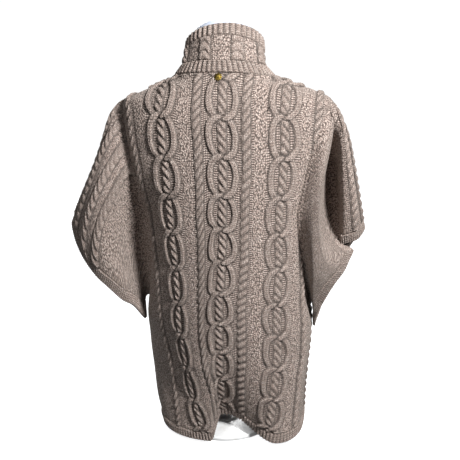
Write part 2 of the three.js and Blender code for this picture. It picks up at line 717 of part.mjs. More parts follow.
function addStand(group) {
  const { radius, height, bevel } = BASE;
  const base = new THREE.LatheGeometry([
    new THREE.Vector2(0, 0), new THREE.Vector2(radius, 0),
    new THREE.Vector2(radius, height - bevel), new THREE.Vector2(radius - bevel, height),
    new THREE.Vector2(0, height),
  ], GRID.base);
  base.rotateX(Math.PI / 2);
  add(group, "stand_base", base, STEEL);
  const top = FORM.z[0] - SEAM;
  const foot = height + SEAM;
  const pole = new THREE.LatheGeometry([
    new THREE.Vector2(0, foot), new THREE.Vector2(POLE.flange, foot),
    new THREE.Vector2(POLE.radius, foot + POLE.flangeHeight),
    new THREE.Vector2(POLE.radius, top), new THREE.Vector2(0, top),
  ], GRID.pole);
  pole.rotateX(Math.PI / 2);
  add(group, "stand_pole", pole, STEEL);
}

const cardigan = new THREE.Group();
addBack(cardigan);
addFront(cardigan, -1, "left");
addFront(cardigan, 1, "right");
addSleeve(cardigan, LEFT_SLEEVE, -1, "left");
addSleeve(cardigan, RIGHT_SLEEVE, 1, "right");
addCollar(cardigan);
addStud(cardigan);
addForm(cardigan);
addStand(cardigan);

export default cardigan;
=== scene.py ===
"""A chunky cable-knit cardigan with cape sleeves on a limbless dress form.

Sizes are in millimetres until a mesh is made. +Z is up, -Y is the garment's back and +X is its
right-hand side seen from behind. Every knitted piece is a thin wall cut from one of three
surfaces: the body, whose level sections are rounded boxes with soft folds pressed into them;
the sleeves, which run in rows from the armhole to the cuff; and the collar, which climbs from
ring to ring. The cables, ropes and ribs are drawn in wales and rows on those surfaces.
"""

import math
import bpy
import numpy as np
from bpy.props import FloatProperty, FloatVectorProperty, IntProperty, PointerProperty
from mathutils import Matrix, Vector


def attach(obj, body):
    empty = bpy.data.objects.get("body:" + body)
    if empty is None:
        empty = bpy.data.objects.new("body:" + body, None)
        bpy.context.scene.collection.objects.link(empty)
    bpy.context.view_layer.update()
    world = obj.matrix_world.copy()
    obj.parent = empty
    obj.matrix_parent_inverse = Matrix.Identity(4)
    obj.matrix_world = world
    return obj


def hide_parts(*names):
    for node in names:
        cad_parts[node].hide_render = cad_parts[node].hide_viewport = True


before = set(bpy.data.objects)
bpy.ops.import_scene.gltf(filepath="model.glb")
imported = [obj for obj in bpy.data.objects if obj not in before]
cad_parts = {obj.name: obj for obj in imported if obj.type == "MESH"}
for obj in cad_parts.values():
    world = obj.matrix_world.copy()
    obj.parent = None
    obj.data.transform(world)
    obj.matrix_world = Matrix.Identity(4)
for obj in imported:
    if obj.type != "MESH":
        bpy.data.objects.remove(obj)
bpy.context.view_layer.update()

bl_info = {
    "name": "Cable-knit cardigan",
    "version": (1, 0, 0),
    "blender": (4, 5, 0),
    "location": "View3D > Sidebar > Cardigan",
    "description": "Builds a cable-knit cardigan with cape sleeves on a dress form",
    "category": "Add Mesh",
}

MM = 0.001

# ------------------------------------------------------------------ the garment's sizes

WALL = 3.0  # thickness of the knitted cloth between its cables
SEAM = 0.4  # gap between two pieces at a seam
GROUND = 2.0  # how far the ground of the knit lies behind the tops of its cables
INSIDE = GROUND + WALL - 0.6  # and the inner side of the cloth
EDGE_ROUND, EDGE_DROP = 1.6, 0.4  # how far in a piece's edge is rounded over, and how deep
HEM_Z = 10.0
HEM_RISE = 29.0  # how far the deepest fold of the back draws the hem up
HEM_BAND = 20.0  # height of the ribbed hem
CUFF_BAND = 24.0  # and of the cuffs
FRONT_BAND = 26.0  # width of the ribbed bands along the front edges
FRONT_GAP_TOP = 9.0  # from the middle of the front to a band's edge, at the neck
FRONT_GAP_HEM = 30.0  # and at the hem
LEVEL_SHOULDER = 690.0  # above this the panels bend over to the shoulder seams
NECK_HALF = 101.0  # half the width of the neck hole
NECK_BACK_Z = 757.0
NECK_SIDE_Z = 747.0
NECK_FRONT_Z = 722.0
COLLAR_OPEN = 7.0  # degrees from the middle of the front to the collar's edge
COLLAR_LEAN = 0.04  # how much higher the collar's rings stand on the right, per mm and level

# How finely the pieces are drawn: lines across a piece and rows along its lines. A panel has
# one line for each step of the grid over its width, and its hem has more.
BACK_WIDTH, FRONT_WIDTH, PANEL_LENGTH = 470.0, 210.0, 745.0
ROW_STEP = 1.06  # step between the rows of a panel, in steps of the grid
HEM_FINER, HEM_ROWS = 1.6, 15
BAND_LINES, BAND_ROWS = 27, 330
SLEEVE_LINES, SLEEVE_ROWS = 330, 110
CUFF_LINES, CUFF_ROWS = 620, 14
COLLAR_LINES, COLLAR_ROWS = 400, (30, 36, 18)
LOOP_STEPS = 1600  # places at which the way round a sleeve is measured
LINE_STEPS = 160  # and the way along one of its lines
SECTION_STEPS, LEVELS = 321, 240  # places round a level of the body, and levels
COLUMN_STEPS, BEND_STEPS = 300, 60  # places up a line of a panel, and over its shoulder


class Table:
    """Rows of numbers under named columns, read on smooth curves with no overshoot."""

    def __init__(self, columns, rows):
        self.columns = columns.split()
        self.rows = np.array(rows, float)
        self.x = self.rows[:, 0]
        self.slopes = {name: self.slope(self[name]) for name in self.columns}

    def __getitem__(self, name):
        return self.rows[:, self.columns.index(name)]

    def slope(self, y):
        """How steep the curve of one column is at each row."""
        step = np.diff(self.x)
        if np.any(step <= 0):
            return None
        rise = np.diff(y) / step
        out = np.concatenate([rise[:1], np.zeros(len(y) - 2), rise[-1:]])
        for i in range(1, len(y) - 1):
            a, b = rise[i - 1], rise[i]
            if a * b > 0:
                h0, h1 = step[i - 1], step[i]
                out[i] = 3 * (h0 + h1) / ((2 * h1 + h0) / a + (h1 + 2 * h0) / b)
        return out

    def at(self, name, q):
        """One column's value at q, where the first column holds the places."""
        x, y, m = self.x, self[name], self.slopes[name]
        q = np.clip(q, x[0], x[-1])
        k = np.clip(np.searchsorted(x, q, side="right") - 1, 0, len(x) - 2)
        h = x[k + 1] - x[k]
        u = (q - x[k]) / h
        low = (1 + 2 * u) * (1 - u) ** 2 * y[k] + u * (1 - u) ** 2 * h * m[k]
        high = u * u * (3 - 2 * u) * y[k + 1] + u * u * (u - 1) * h * m[k + 1]
        return low + high


# One row for each level of the body: half widths, how far forward of the middle each side is
# widest, depth of back and front, roundness (2 is an ellipse), where the middle wale runs, and
# how far the wales of each side are spread (below 1) or gathered (above 1) there.
BODY = Table(
    "z left right side_left side_right back front round_left round_right round_front"
    " middle gather_left gather_right",
    [
        [10, 133, 172, 4, 12, 126, 128, 2.4, 3.4, 2.5, 4, 1.20, 0.97],
        [60, 156, 173, 10, 14, 127, 132, 1.75, 2.8, 2.5, 5, 1.34, 1.03],
        [120, 166, 177, 16, 16, 126, 136, 1.45, 2.6, 2.5, 5, 1.36, 1.04],
        [180, 172, 183, 16, 18, 124, 140, 1.42, 2.4, 2.45, 5, 1.33, 1.00],
        [235, 174, 186, 10, 14, 121, 144, 1.6, 2.3, 2.4, 5.5, 1.34, 0.99],
        [300, 166, 178, 4, 8, 119, 148, 1.85, 2.2, 2.3, 6, 1.32, 1.00],
        [380, 158, 168, 0, 0, 117, 150, 2.05, 2.2, 2.25, 10, 1.21, 1.01],
        [456, 158, 165, 0, 0, 116, 149, 2.25, 2.25, 2.2, 13.5, 1.10, 1.05],
        [560, 192, 184, 0, 0, 113, 138, 2.25, 2.25, 2.2, 13.5, 1.03, 1.02],
        [620, 205, 202, 0, 0, 109, 124, 2.2, 2.2, 2.2, 12, 0.98, 0.99],
        [660, 210, 212, 0, 0, 104, 111, 2.15, 2.15, 2.15, 10.5, 0.96, 0.99],
        [685, 212, 216, 0, 0, 98, 99, 2.1, 2.1, 2.1, 10, 0.94, 0.99],
        [699, 210, 217, 0, 0, 94, 91, 2.05, 2.05, 2.05, 10, 0.93, 0.98],
        [711, 184, 205, 0, 0, 89, 85, 2, 2, 2, 9, 0.93, 0.97],
        [722, 158, 179, 0, 0, 85, 80, 2, 2, 2, 9, 0.93, 0.96],
        [735, 126, 140, 0, 0, 80, 76, 2, 2, 2, 8, 0.93, 0.96],
        [747, 101, 101, 0, 0, 75, 72, 2, 2, 2, 8, 0.93, 0.96],
        [757, 101, 101, 0, 0, 71, 69, 2, 2, 2, 8, 0.93, 0.96],
    ],
)

# One row for each soft fold of the back: where it lies, how wide and how steep it is on each
# side, how deep it is pressed in (a minus stands out), and the level where it is deepest with
# how far it reaches below and above that.
FOLDS = Table(
    "x wide_left steep_left wide_right steep_right depth z below above",
    [
        [10, 15, 8, 70, 2.2, 86, 8, 60, 300],
        [135, 45, 2, 35, 2, -8, 8, 60, 170],
        [-38, 34, 2, 30, 2, -10, 170, 160, 120],
    ],
)

# The armhole: the angle round the section from the middle of the back, and from the middle of
# the front, to the seam on each side.
ARMHOLE = Table(
    "z back_left back_right front_left front_right",
    [
        [284, 90, 90, 90, 90],
        [308, 85, 85, 84, 84],
        [350, 79, 79, 78, 78],
        [410, 74, 74, 73, 73],
        [496, 70, 66, 66, 66],
        [560, 70, 66, 62, 62],
        [607, 74, 65, 61, 61],
        [660, 79, 67, 66, 66],
        [685, 83, 77, 74, 74],
        [699, 89, 89, 89, 89],
    ],
)

# One row for each line of a sleeve, from the underarm up the back, over the shoulder and down
# the front: the level where it leaves the armhole, on which panel (-1 back, 0 side, 1 front),
# a point under half way along, a lower one, the edge of the cuff, how much it puffs out over
# the shoulder and how deep it dips forward into the valley beside the body.
SLEEVE_COLUMNS = "z panel mid_x mid_y mid_z low_x low_y low_z end_x end_y end_z puff dip"
LEFT_SLEEVE = Table(
    SLEEVE_COLUMNS,
    [
        [284, 0, -175, 0, 264, -174, -6, 248, -171, -12, 230, 0, 0],
        [320, -1, -180, -26, 296, -185, -38, 280, -186, -44, 266, 0, 14],
        [385, -1, -184, -66, 345, -195, -74, 315, -206, -70, 286, 0, 50],
        [450, -1, -192, -90, 399, -214, -92, 351, -231, -79, 312, 0, 62],
        [520, -1, -205, -98, 453, -237, -98, 388, -260, -77, 338, 0, 42],
        [580, -1, -220, -95, 501, -262, -93, 427, -287, -68, 370, 0, 12],
        [630, -1, -236, -81, 548, -278, -80, 467, -306, -58, 402, 5, 0],
        [675, -1, -245, -53, 586, -288, -55, 500, -320, -40, 432, 10, 0],
        [699, 0, -248, -9, 601, -295, -11, 509, -328, -10, 440, 14, 0],
        [675, 1, -240, 41, 584, -289, 35, 497, -321, 25, 430, 10, 0],
        [620, 1, -226, 78, 528, -272, 72, 448, -305, 58, 394, 4, 0],
        [540, 1, -208, 90, 459, -249, 90, 393, -275, 78, 350, 0, 0],
        [450, 1, -190, 85, 389, -219, 89, 344, -240, 80, 314, 0, 0],
        [375, 1, -184, 62, 330, -194, 64, 298, -203, 54, 270, 0, 0],
        [312, 1, -179, 28, 284, -182, 24, 262, -182, 14, 244, 0, 0],
    ],
)
RIGHT_SLEEVE = Table(
    SLEEVE_COLUMNS,
    [
        [284, 0, 184, 8, 261, 186, 8, 243, 187, 8, 226, 0, 0],
        [320, -1, 185, -32, 293, 189, -26, 274, 196, -18, 258, 0, 0],
        [385, -1, 182, -64, 352, 194, -48, 318, 213, -30, 297, 0, 8],
        [460, -1, 183, -78, 415, 203, -60, 352, 232, -32, 332, 0, 4],
        [540, -1, 189, -82, 475, 212, -64, 383, 250, -26, 358, 0, 0],
        [610, -1, 198, -79, 530, 209, -66, 404, 260, -16, 380, 0, 0],
        [655, -1, 206, -63, 560, 206, -60, 430, 267, -4, 397, 0, 0],
        [676, -1, 209, -24, 575, 203, -26, 440, 261, 12, 401, 2, 0],
        [688, -1, 212, 58, 580, 212, 64, 455, 243, 24, 403, 8, -34],
        [695, -1, 226, 66, 585, 231, 68, 478, 238, 32, 401, 8, -40],
        [699, -1, 231, -2, 590, 240, 4, 485, 245, 28, 401, 7, -8],
        [699, 0, 246, -8, 600, 265, 2, 500, 275, 28, 413, 5, -4],
        [695, 1, 252, 30, 602, 273, 38, 508, 289, 52, 431, 3, 0],
        [660, 1, 246, 68, 560, 264, 76, 465, 276, 82, 412, 2, 0],
        [580, 1, 228, 88, 500, 244, 94, 412, 252, 92, 368, 0, 0],
        [480, 1, 206, 90, 425, 220, 90, 352, 230, 84, 320, 0, 0],
        [375, 1, 190, 72, 338, 200, 72, 298, 206, 66, 272, 0, 0],
        [312, 1, 184, 32, 280, 189, 30, 256, 192, 26, 238, 0, 0],
    ],
)

# Which row of each sleeve runs over the shoulder; 10.5 is half way between two rows.
SHOULDER_ROW = {-1: 8, 1: 10.5}

# Where round its loop each sleeve's cap is eased up to the shoulder, from where the ease
# starts to where it has faded out, and how far it goes in mm.
CAP_EASE = {
    -1: (0.485, 0.51, 0.53, 0.575, (3.4, 0, 2.4)),
    1: (0.395, 0.44, 0.6, 0.64, (-3.2, 0, 4.2)),
}
CAP_REACH = 24.0  # how far down the sleeve the ease is felt

# One row for each ring of the collar above the neck seam: half widths, depths and heights.
RINGS = Table(
    "level left right back front back_z side_z front_z",
    [
        [1, 86, 84, -70, 72, 780, 764, 742],
        [2, 82, 78, -56, 78, 827, 792, 764],
        [3, 81, 75, -46, 80, 849, 812, 782],
    ],
)

# One row for each ring of the dress form: its middle, half width, half depth, height, how much
# higher it stands at the back than in the middle, and its roundness.
FORM = Table(
    "step y half_width half_depth z tilt round",
    [
        [0, 6, 98, 76, 236, 0, 2.1],
        [1, 6, 106, 82, 246, 0, 2.1],
        [2, 8, 124, 92, 300, 0, 2.15],
        [3, 8, 116, 86, 380, 0, 2.15],
        [4, 8, 120, 88, 470, 0, 2.15],
        [5, 8, 138, 98, 560, 0, 2.15],
        [6, 4, 160, 96, 620, 0, 2.15],
        [7, 2, 176, 90, 660, 0, 2.1],
        [8, 0, 180, 82, 680, 0, 2.1],
        [9, -1, 170, 76, 696, 0, 2],
        [10, -1, 146, 72, 708, 0, 2],
        [11, -1, 116, 68, 722, 0, 2],
        [12, -1, 88, 64, 734, 2, 2],
        [13, 0, 73, 61, 745, 8, 2],
        [14, 4, 68, 58, 762, 14, 2],
        [15, 12, 66, 56, 790, 20, 2],
        [16, 17, 66, 55, 811, 26, 2],
    ],
)
FORM_RINGS = 81
CAP = {"y": 18, "half_width": 66, "half_depth": 55, "z": 813, "tilt": 27, "rise": 34}
CAP_RINGS = 24
BASE_RADIUS, BASE_HEIGHT = 102, 8
BASE_BEVEL, BASE_ROUND = 0.8, 2.5  # of its lower and its upper edge
POLE_RADIUS, POLE_SIDES = 12.5, 48
FLANGE_RADIUS, FLANGE_HEIGHT = 30, 10
FLANGE_BEVEL, FLANGE_RIM = 0.6, 1.6  # heights at which its bevel and its rim end
FLANGE_SHOULDER = 2.2  # and at which its cone starts
FLANGE_CURVE = 2.2  # how hollow the flange's cone is

POLE_START = 40  # where the straight pole starts, above its foot
AXIS = 1  # radius of the small flat in the middle of a turned end

# The stud: its middle's height, how far its axis tips up, its head and its post.
STUD_Z, STUD_LEAN, STUD_SIDES = 747.0, math.radians(21), 64
STUD_RADIUS, STUD_DOME = 7.4, 4.2
POST_RADIUS, POST_LENGTH = 3, 4.6
PETALS, PETAL_DEPTH = 8, 0.07

# ------------------------------------------------------------------ the knit

REPEAT = 72.0  # height of one crossing of the cables
STRANDS = 4  # strands of a rope in that height
BAND_REACH = 25.5  # how far the bands of a cable part
BAND_HALF = 6.2
ROPE_HALF = 8.8
BRAID_HALF = 12.5
CABLE_RISE = 5.5  # how far a band of a cable stands out of the ground
ROPE_RISE = 0.9 * CABLE_RISE  # and a rope or a braid
CABLE_PURL, ROPE_PURL = 34, 15  # half widths of the purled ground beside them
FLAT_HEAD = 60.0  # how far down a sleeve its braids grow to their full height
WALE = 3.1  # width of one column of stitches
COURSE = 4.5  # height of one row of stitches
PURL_DROP = 0.6  # how far purl lies behind moss stitch
BAND_END = 0.075  # how far a band reaches past the crossing over it, in repeats

# How far the ribs of each band stand out; those of the hem, the cuffs and the collar's rim
# have their widths among the properties.
HEM_RIB, FRONT_RIB, CUFF_RIB, COLLAR_RIB = 3.6, 3.2, 2.4, 3.2
FRONT_PITCH, BASE_PITCH = 6.5, 9.5

# Painted shade: a place is darkened as if in shade where the knit round it stands higher. The
# pairs give how far round it is looked, and how much higher counts as full painted shade.
HOLLOWS = ((6.0, 3.6), (2.6, 1.1))

# The number of repeats knitted below each height: in the middle of the back, where the rows
# are drawn up by the fold, and beside it. The weight of the wool stretches the upper rows.
ROWS_MIDDLE = Table(
    "height repeats",
    [[-20, -1.03], [47, 0], [110, 1], [175, 2], [238, 3], [300, 4], [366, 5], [432, 6],
     [501, 7], [576, 8], [650, 9], [727, 10], [806, 11]],
)
ROWS_BESIDE = Table(
    "height repeats",
    [[-28, -1], [31, 0], [92, 1], [157, 2], [226, 3], [297, 4], [372, 5], [445, 6],
     [520, 7], [597, 8], [679, 9], [763, 10], [848, 11]],
)

# How far a cable's left band lies from the middle, as a share of its reach, by the share of
# the repeat above the crossing under it. It slips under at its lower end and passes over at
# its upper one. The right band is the same upside down.
BAND = Table(
    "share reach",
    [[0, 0.50], [0.1, 0.69], [0.22, 0.87], [0.48, 1], [0.72, 0.94], [0.84, 0.81], [0.92, 0.62],
     [1, 0.4], [1.06, 0.22]],
)

# What stands where across each panel, in mm from its middle or, on a front, from its edge:
# kind, place, and the way its strands lean.
BACK_LAYOUT = [
    ("cable", -119, 1), ("cable", 0, 1), ("cable", 119, 1),
    ("rope", -197, -1), ("rope", -47.5, -1), ("rope", 46, -1), ("rope", 190, -1),
]
FRONT_LAYOUT = [("rope", 47, -1), ("cable", 96, 1), ("rope", 145, -1), ("rope", 192, -1)]
LEFT_SLEEVE_LAYOUT = [
    ("braid", -150, 1), ("braid", -105, 1), ("braid", -57, 1), ("braid", -18, 1),
    ("braid", 24, 1), ("braid", 66, 1), ("braid", 110, 1), ("braid", 154, 1),
]
RIGHT_SLEEVE_LAYOUT = [
    ("braid", -175, 1), ("braid", -133, 1), ("braid", -90, 1), ("braid", -48, 1),
    ("rope", -12, -1),
]
COLLAR_LAYOUT = [
    ("braid", -150, 1), ("braid", -92, 1), ("braid", -30, 1), ("braid", 34, 1),
    ("braid", 92, 1), ("braid", 150, 1),
]

PLAIN, PURL, MOSS = 0.0, 0.5, 1.0


def smooth(low, high, q):
    """0 below low, 1 above high and a soft step between."""
    u = np.clip((q - low) / (high - low), 0, 1)
    return u * u * (3 - 2 * u)


def rope(across, strands, half, lean):
    """A two-strand rope: its height from 0 to 1, and the place across and along a strand."""
    q = np.clip(across / half, -1, 1)
    turn = strands + lean * half * STRANDS / REPEAT * 0.8 * np.sin(q * math.pi / 2)
    place = turn - np.floor(turn)
    strand = np.sin(math.pi * place)
    body = np.clip(1 - q * q, 0, 1) ** 0.4
    return body * strand, turn * 4 * WALE, across * 1.4


def braid(across, strands, half):
    """A wide cable whose strands curve round like stacked arcs."""
    q = np.clip(across / half, -1, 1)
    turn = strands + half * STRANDS / REPEAT * (0.8 * q * q + 0.3 * q)
    place = turn - np.floor(turn)
    strand = np.sin(math.pi * place) ** 0.8
    body = np.clip(1 - q**4, 0, 1) ** 0.5
    return body * (0.15 + 0.85 * strand), turn * 4 * WALE, across * 1.3


def band(across, share):
    """A cable's left band: its height from 0 to 1, and the place across and along it."""
    inside = (share > 0.0) & (share < 1 + BAND_END)
    reach = BAND.at("reach", share)
    step = 0.01
    slope = (BAND.at("reach", share + step) - BAND.at("reach", share - step)) / (2 * step)
    widen = np.sqrt(1 + (BAND_REACH * slope / REPEAT) ** 2)
    q = (across + BAND_REACH * reach) / (BAND_HALF * widen)
    tip = np.clip((share - 1.0) / BAND_END, 0, 1)
    shrunk = np.sqrt(np.clip(1 - tip * tip, 1e-6, 1))
    body = np.clip(1 - (q / shrunk) ** 2, 0, 1) ** 0.45
    groove = 1 - 0.3 * np.exp(-((q / 0.2) ** 2))
    under = 0.4 + 0.6 * smooth(0.0, 0.18, share)
    over = 1 + 0.25 * smooth(0.84, 0.97, share)
    height = np.where(inside & (np.abs(q) < shrunk), body * groove * under * over, 0)
    return height, q * 2 * WALE, share * REPEAT


def cable(across, repeats):
    """Bands that part and cross round a rope."""
    share = repeats - np.floor(repeats)
    parts = [
        band(across, share), band(across, share + 1), band(-across, 1 - share),
        band(-across, 2 - share),
    ]
    taper = smooth(0.05, 0.17, share) * smooth(0.03, 0.15, 1 - share)
    half = ROPE_HALF * (0.45 + 0.55 * taper)
    height, a, b = rope(across, repeats * STRANDS, half, 1)
    parts.append((height * taper * 0.95, a, b))
    return highest(parts)


def highest(parts):
    """The part that stands out furthest at each place."""
    height, a, b = (np.array(p) for p in parts[0])
    for other, oa, ob in parts[1:]:
        wins = other > height
        height = np.where(wins, other, height)
        a = np.where(wins, oa, a)
        b = np.where(wins, ob, b)
    return height, a, b


class Relief:
    """What the knit does at each place of a piece: its height in mm, the place across and
    along its stitches, whether they are plain, purl or moss, and how much painted shade it
    takes. `across` is in mm and `repeats` counts the crossings of the cables below the place."""

    def __init__(self, across, repeats):
        # The stitches wander a little, as they do in hand knitting.
        wander = np.sin(repeats * 2.1 + 0.7) + np.sin(repeats * 5.3 + across / 31)
        self.across = across + 0.6 * wander
        self.repeats = repeats + 0.012 * np.sin(across / 17 + 3 * np.sin(repeats))
        self.height = np.zeros_like(across)
        self.shade = np.zeros_like(across)
        self.a, self.b = self.across.copy(), self.repeats * REPEAT
        self.kind = np.full_like(across, MOSS)

    def lay(self, height, a, b, rise):
        """Lays a plain-stitched strand over whatever stands lower."""
        stands = height * rise
        wins = (height > 0.02) & (stands > self.height)
        self.height = np.where(wins, stands, self.height)
        # Painted shade on the low sides of a strand, where it dips between its neighbours and
        # at a cable's edges.
        self.shade = np.where(wins, np.clip(1.2 - height / 0.56, 0, 1), self.shade)
        self.a = np.where(wins, a, self.a)
        self.b = np.where(wins, b, self.b)
        self.kind = np.where(wins, PLAIN, self.kind)

    def purl(self, middle, half):
        """Beside and inside a cable the ground is purled."""
        here = (np.abs(self.across - middle) < half) & (self.kind == MOSS)
        self.kind = np.where(here, PURL, self.kind)
        self.height = np.where(here, self.height - PURL_DROP, self.height)
        # The purled ground takes an even painted shade.
        self.shade = np.where(here, 0.25, self.shade)

    def columns(self, layout):
        """Knits the cables, ropes and braids of one panel."""
        strands = self.repeats * STRANDS
        for kind, middle, lean in layout:
            q = self.across - middle
            if kind == "cable":
                self.lay(*cable(q, self.repeats), CABLE_RISE)
                self.purl(middle, CABLE_PURL)
            elif kind == "rope":
                self.lay(*rope(q, strands, ROPE_HALF, lean), ROPE_RISE)
                self.purl(middle, ROPE_PURL)
            else:
                self.lay(*braid(q, strands, BRAID_HALF), ROPE_RISE)
                self.purl(middle, ROPE_PURL)

    def rib(self, pitch, rise):
        """Makes the whole piece a rib of plain stitches."""
        wave = 0.5 + 0.5 * np.cos(2 * math.pi * self.across / pitch)
        self.height = rise * wave**0.75
        # Painted shade in the valleys between the ribs.
        self.shade = np.clip(1 - wave / 0.3, 0, 1)
        self.kind = np.full_like(self.across, PLAIN)


def lengths(points, axis):
    """Distance along each line of a grid of points."""
    step = np.linalg.norm(np.diff(points, axis=axis), axis=-1)
    start = np.zeros_like(np.take(step, [0], axis=axis))
    return np.concatenate([start, np.cumsum(step, axis=axis)], axis=axis)


def points_at(line, along, at):
    """Points of a line at distances along it."""
    return np.stack([np.interp(at, along, line[:, k]) for k in range(3)], -1)


# ------------------------------------------------------------------ the body's surface


def pressed(x, z):
    """How far the back is pressed in at x on level z."""
    total = np.zeros_like(x)
    for row in FOLDS.rows:
        at, wide_left, steep_left, wide_right, steep_right, depth, level, below, above = row
        away = abs(z - level) / (below if z < level else above)
        if away < 1:
            q = x - at
            wide = np.where(q < 0, wide_left, wide_right)
            steep = np.where(q < 0, steep_left, steep_right)
            total = total + depth * (1 - away) ** 2 * np.exp(-(np.abs(q / wide) ** steep))
    return total


def signed_power(value, power):
    """A power of the size of a value, with the value's own sign."""
    return np.sign(value) * np.abs(value) ** power


def section(degrees, z):
    """Points round the level z: 0 is the middle of the back, +-180 that of the front."""
    s, c = np.sin(np.radians(degrees)), np.cos(np.radians(degrees))
    left = s < 0
    of = {name: BODY.at(name, z) for name in BODY.columns}
    half = np.where(left, of["left"], of["right"])
    side = np.where(left, of["side_left"], of["side_right"])
    round_back = np.where(left, of["round_left"], of["round_right"])
    power = 2 / np.where(c < 0, of["round_front"], round_back)
    x = half * signed_power(s, power)
    depth = np.where(c < 0, of["front"] - side, side + of["back"])
    y = side - signed_power(c, power) * depth
    y = y + np.where(c > 0, pressed(x, z) * np.clip(3 * c, 0, 1), 0)
    return np.stack([x, y], -1)


def top_level(x, panel):
    """Height of the shoulder seam, or of the neck hole, over x on one panel."""
    dip = np.sqrt(np.clip(1 - (x / NECK_HALF) ** 2, 0, 1))
    neck = NECK_SIDE_Z + ((NECK_BACK_Z if panel < 0 else NECK_FRONT_Z) - NECK_SIDE_Z) * dip
    low, high = np.full_like(x, 695.0), np.full_like(x, NECK_SIDE_Z)
    for _ in range(30):
        z = (low + high) / 2
        half = np.where(x < 0, BODY.at("left", z), BODY.at("right", z))
        low = np.where(half > np.abs(x), z, low)
        high = np.where(half > np.abs(x), high, z)
    return np.where(np.abs(x) <= NECK_HALF, neck, low)


def shoulder(x, z, panel):
    """Points over x on a level above the shoulder line."""
    half = np.where(x < 0, BODY.at("left", z), BODY.at("right", z))
    depth = BODY.at("back" if panel < 0 else "front", z)
    side = np.where(x < 0, BODY.at("round_left", z), BODY.at("round_right", z))
    power = side if panel < 0 else BODY.at("round_front", z)
    y = depth * np.clip(1 - (np.abs(x) / half) ** power, 0, 1) ** (1 / power)
    return np.stack([x, panel * np.maximum(y, SEAM / 2), z], -1)


def back_span(z):
    """The angles of the armholes' edges round the back."""
    return -ARMHOLE.at("back_left", z), ARMHOLE.at("back_right", z)


def front_gap(z):
    """How far a front's edge lies from the middle of the front."""
    up = np.clip((z - HEM_Z) / (NECK_FRONT_Z - HEM_Z), 0, 1)
    return FRONT_GAP_HEM + (FRONT_GAP_TOP - FRONT_GAP_HEM) * up**0.8


def level_of(panel, hand, z, shares, strip=None):
    """A level of a panel at shares of its width: points and wale places. `strip` takes only
    the stretch between two distances from the front edge."""
    if panel < 0:
        first, last = back_span(z)
    else:
        edge = 180 - ARMHOLE.at("front_left" if hand < 0 else "front_right", z)
        first, last = hand * 180.0, hand * edge
    points = section(np.linspace(first, last, SECTION_STEPS), z)
    along = lengths(points, 0)
    if panel < 0:
        start, end = SEAM, along[-1] - SEAM
        middle = np.interp(BODY.at("middle", z), points[:, 0], along)
    else:
        gap = front_gap(z)
        middle = gap
        start, end = gap + FRONT_BAND + SEAM, along[-1] - SEAM
        if strip is not None:
            start, end = gap + strip[0], gap + strip[1]
    at = start + shares * (end - start)
    wale = at - middle
    if panel < 0:
        gather = np.where(wale < 0, BODY.at("gather_left", z), BODY.at("gather_right", z))
        wale = wale * gather
    return np.interp(at, along, points[:, 0]), np.interp(at, along, points[:, 1]), wale


def body_lines(panel, hand, count, strip=None):
    """Lines of a panel from the hem to its top, one to the right of the other as seen from
    outside, and the wale at each of their points."""
    shares = np.linspace(0, 1, count)
    levels = np.linspace(HEM_Z, LEVEL_SHOULDER, LEVELS)
    rows = [level_of(panel, hand, z, shares, strip) for z in levels]
    x, y, wale = (np.array([row[k] for row in rows]) for k in range(3))
    rise = np.zeros(count)
    if panel < 0:
        rise = HEM_RISE * np.maximum(0, pressed(x[0], HEM_Z)) / FOLDS["depth"][0]
    top = top_level(x[-1], panel)
    upper = np.sin(np.linspace(0, math.pi / 2, BEND_STEPS + 1)[1:])
    lines, wales = [], []
    for k in range(count):
        z = np.linspace(HEM_Z + rise[k], LEVEL_SHOULDER, COLUMN_STEPS)
        low = np.stack([np.interp(z, levels, x[:, k]), np.interp(z, levels, y[:, k]), z], -1)
        over = LEVEL_SHOULDER + (top[k] - LEVEL_SHOULDER) * upper
        high = shoulder(np.full_like(over, x[-1, k]), over, panel)
        lines.append(np.concatenate([low, high]))
        wales.append(np.concatenate([np.interp(z, levels, wale[:, k]),
                                     np.full_like(over, wale[-1, k])]))
    order = -1 if panel > 0 and hand > 0 else 1
    return np.array(lines)[::order], np.array(wales)[::order]


def cut(lines, wales, start, stop, rows):
    """The stretch of each line between two distances along it, in rows of points. `stop` is
    measured from the start where it is positive, else from the end."""
    points, across, up = [], [], []
    for line, wale in zip(lines, wales):
        along = lengths(line, 0)
        last = stop if stop > 0 else along[-1] + stop
        at = np.linspace(start, last, rows)
        points.append(points_at(line, along, at))
        across.append(np.interp(at, along, wale))
        up.append(at)
    return np.array(points), np.array(across), np.array(up)


def repeats_of(across, up, panel):
    """How many repeats are knitted below each place of a panel."""
    beside = ROWS_BESIDE.at("repeats", up)
    if panel > 0:
        return beside
    drawn = 1 - smooth(25, 105, np.abs(across))
    return beside + (ROWS_MIDDLE.at("repeats", up) - beside) * drawn


# ------------------------------------------------------------------ the sleeves and collar


def catmull_rom(points, t):
    """A closed curve through rows of points, smooth from row to row."""
    n = len(points)
    i = np.floor(t).astype(int)
    u = (t - i)[:, None]
    a, b, c, d = (points[(i + k) % n] for k in (-1, 0, 1, 2))
    return 0.5 * (
        (-u + 2 * u**2 - u**3) * a + (2 - 5 * u**2 + 3 * u**3) * b
        + (u + 4 * u**2 - 3 * u**3) * c + (-(u**2) + u**3) * d
    )


def armhole_angle(z, hand, panel):
    """The angle round the section at which the armhole's edge cuts one panel."""
    name = ("back_" if panel < 0 else "front_") + ("left" if hand < 0 else "right")
    angle = 90.0 if panel == 0 else ARMHOLE.at(name, z)
    return hand * (180 - angle if panel > 0 else angle)


